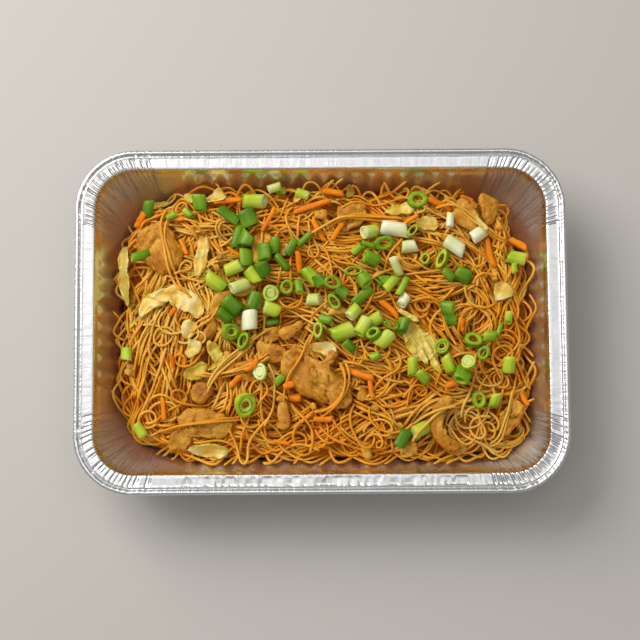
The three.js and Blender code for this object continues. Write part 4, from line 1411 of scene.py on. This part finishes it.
def lay_onions(batch, nodes, ground):
    """Spring onion: the cuts that have a node lie where it lies, the small ones rest on the noodles."""
    for (name, node), shade in zip(nodes.items(), ONION_SHADES):
        corners = coordinates(node)
        middle, axes = own_axes(corners)
        reach = np.ptp((corners - middle) @ axes.T, axis=0)
        if "ring" in name:
            onion_stem(batch, middle, axes[[2, 0, 1]], reach[2], reach[:2].mean() / 2, shade)
        else:
            onion_stem(batch, middle, axes, reach[0], reach[1:].mean() / 2, shade)
    for x, y, length, diameter, heading, shade in SMALL_LENGTHS:
        middle = rest_on(ground, x, y, length, diameter, heading, share=0.7, lift=diameter * 0.42,
                         rise=diameter * 0.8)
        onion_stem(batch, middle, turned(heading, rng.normal(0, 0.22, 2)), length, diameter / 2, shade)
    for x, y, diameter, height, shade in SMALL_RINGS:
        middle = rest_on(ground, x, y, diameter, diameter, 0, share=0.7, lift=height * 0.45,
                         rise=height * 0.8)
        axes = turned(rng.uniform(0, 360), rng.normal(0, 0.22, 2))[[2, 0, 1]]
        onion_stem(batch, middle, axes, height, diameter / 2, shade)


def lay_chicken(batch, nodes, ground):
    """Chicken: the slices that have a node, the small ones that rest on the noodles, and crumbs."""
    for node, (x, y, length, width, heading, bend, height) in zip(nodes.values(), CHICKEN):
        level = coordinates(node)[:, 2]
        place = np.array([x, y, (level.min() + level.max()) / 2 + MEAT_LIFT])
        axes = turned(heading, rng.normal(0, 0.07, 2))
        meat(batch, place, axes, length, width, height * MEAT_SWELL, bend)
    for x, y, length, width, heading in SMALL_CHICKEN:
        tall = min(width, 7) * 0.9
        place = rest_on(ground, x, y, length, width, heading, share=0.3, lift=tall * 0.2, rise=tall * 0.5)
        bend = rng.choice([-1, 1]) * rng.uniform(60, 150) if length > 1.8 * width else 0
        meat(batch, place, turned(heading, rng.normal(0, 0.15, 2)), length, width, tall, bend)
    for size in rng.uniform(2, 4.5, CRUMBS):
        x, y = random_place(8)
        level, cells = footprint(ground, x, y, size, size, 0, 0.8)
        if not ground.covered[cells].any():
            place = np.array([x, y, level + size * 0.2])
            meat(batch, place, turned(rng.uniform(0, 360)), size * 1.3, size, size * 0.8, 0)


def lay_cabbage(batch, nodes, ground):
    """Cabbage: the leaves that have a node lie as high as it does, the small ones rest on the noodles."""
    for node, row in zip(nodes.values(), CABBAGE):
        top = ground.trace(node)
        covered = top > 0
        rest = np.mean(top[covered] - ground.target[covered]) - row[-1] / 2
        cabbage_leaf(batch, ground, rest, *row)
    for row in SMALL_CABBAGE:
        level, cells = footprint(ground, *row[:5], 0.7)
        cabbage_leaf(batch, ground, level - ground.target[cells].mean() + row[-1] / 2, *row)


def lay_carrots(batch, nodes, ground):
    """Carrot: the sticks that have a node lie as it does, the small ones rest on the noodles."""
    for node, (length, width, heading, bend) in zip(nodes.values(), CARROT):
        middle, axes = own_axes(coordinates(node))
        if axes[0] @ (math.cos(math.radians(heading)), math.sin(math.radians(heading)), 0) < 0:
            axes[:2] = -axes[:2]
        carrot_stick(batch, middle, axes, length, width, bend)
    for x, y, length, width, heading, bend in SMALL_CARROT:
        middle = rest_on(ground, x, y, length, width, heading, share=0.6, lift=width * 0.3,
                         rise=width * 0.6)
        carrot_stick(batch, middle, turned(heading, rng.normal(0, 0.08, 2)), length, width, bend)


def topping(kind, slot, lay, nodes, ground, looks):
    """All of one kind, joined into one piece in place of its nodes."""
    batch = Batch()
    own = {name: nodes[name] for name in sorted(nodes) if name.startswith(kind)}
    lay(batch, own, ground)
    piece = batch.piece(f"{kind}_pieces", looks[slot], slot)
    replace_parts(piece, *own)
    return piece


# Studio

def area_light(name, place, aim, size, power, colour):
    """A soft rectangular light."""
    light = bpy.data.lights.new(name, "AREA")
    light.shape = "RECTANGLE"
    light.size, light.size_y = size
    light.energy = power
    light.color = colour
    obj = new_object(name, light)
    obj.location = place
    obj.rotation_euler = (Vector(aim) - Vector(place)).to_track_quat("-Z", "Y").to_euler()


def studio():
    """A pale floor, two soft lights overhead, a warmer one from the upper left, and dim light all round."""
    mesh = bpy.data.meshes.new("floor")
    corners = [(x * FLOOR_HALF, y * FLOOR_HALF, 0) for x, y in ((-1, -1), (1, -1), (1, 1), (-1, 1))]
    mesh.from_pydata(corners, [], [(0, 1, 2, 3)])
    material, _, _, shader = new_material("floor")
    shader.inputs["Roughness"].default_value = FLOOR_ROUGHNESS
    shader.inputs["Base Color"].default_value = (*linear(FLOOR_COLOUR), 1)
    mesh.materials.append(material)
    floor = new_object("floor", mesh)
    for name, values in LIGHTS.items():
        area_light(name, *values)
    world = bpy.data.worlds.new("studio")
    world.use_nodes = True
    background = world.node_tree.nodes["Background"]
    background.inputs["Color"].default_value = SURROUND_COLOUR
    background.inputs["Strength"].default_value = SURROUND_STRENGTH
    bpy.context.scene.world = world


def camera():
    """A long lens that looks down on the tray as the photograph does."""
    data = bpy.data.cameras.new("camera")
    data.sensor_width = SENSOR
    data.lens = VIEW_FOCAL * SENSOR / IMAGE
    data.clip_start = 0.05
    data.shift_x = -(VIEW_MIDDLE[0] - IMAGE / 2) / IMAGE
    data.shift_y = (VIEW_MIDDLE[1] - IMAGE / 2) / IMAGE
    obj = new_object("camera", data)
    rise = math.radians(VIEW_ELEVATION)
    away = Vector((0, -math.cos(rise), math.sin(rise)))
    obj.location = away * VIEW_DISTANCE * MM + Vector((0, 0, HEIGHT * MM))
    look = Matrix.Rotation(math.pi / 2 - rise, 4, "X") @ Matrix.Rotation(math.radians(-VIEW_ROLL), 4, "Z")
    obj.rotation_euler = look.to_euler()
    bpy.context.scene.camera = obj


def main():
    """Sets up the studio and replaces the solids: the tray, the noodles, then the toppings."""
    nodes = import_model()["nodes"]
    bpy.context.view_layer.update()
    camera()
    studio()
    bpy.context.scene.view_settings.view_transform = "Standard"
    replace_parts(foil_tray(foil_material()), "tray")
    ground = prepare_ground(nodes)
    looks = {name: food_material(name, *values) for name, values in LOOKS.items()}
    heap(nodes, ground, looks["noodle"])
    chicken = topping("chicken", "chicken", lay_chicken, nodes, ground, looks)
    ground.height = np.maximum(ground.height, ground.trace(chicken))
    ground.ceiling[:] = OPEN
    loose = []
    lay_hanks(loose, ground, DRAPES, DRAPE_RISE)
    loose_strands(loose, ground, LOOSE_STRANDS)
    strand_piece("noodles_loose", loose, ground, looks["noodle"])
    topping("cabbage", "cabbage", lay_cabbage, nodes, ground, looks)
    topping("carrot", "carrot", lay_carrots, nodes, ground, looks)
    topping("onion", "spring_onion", lay_onions, nodes, ground, looks)


main()
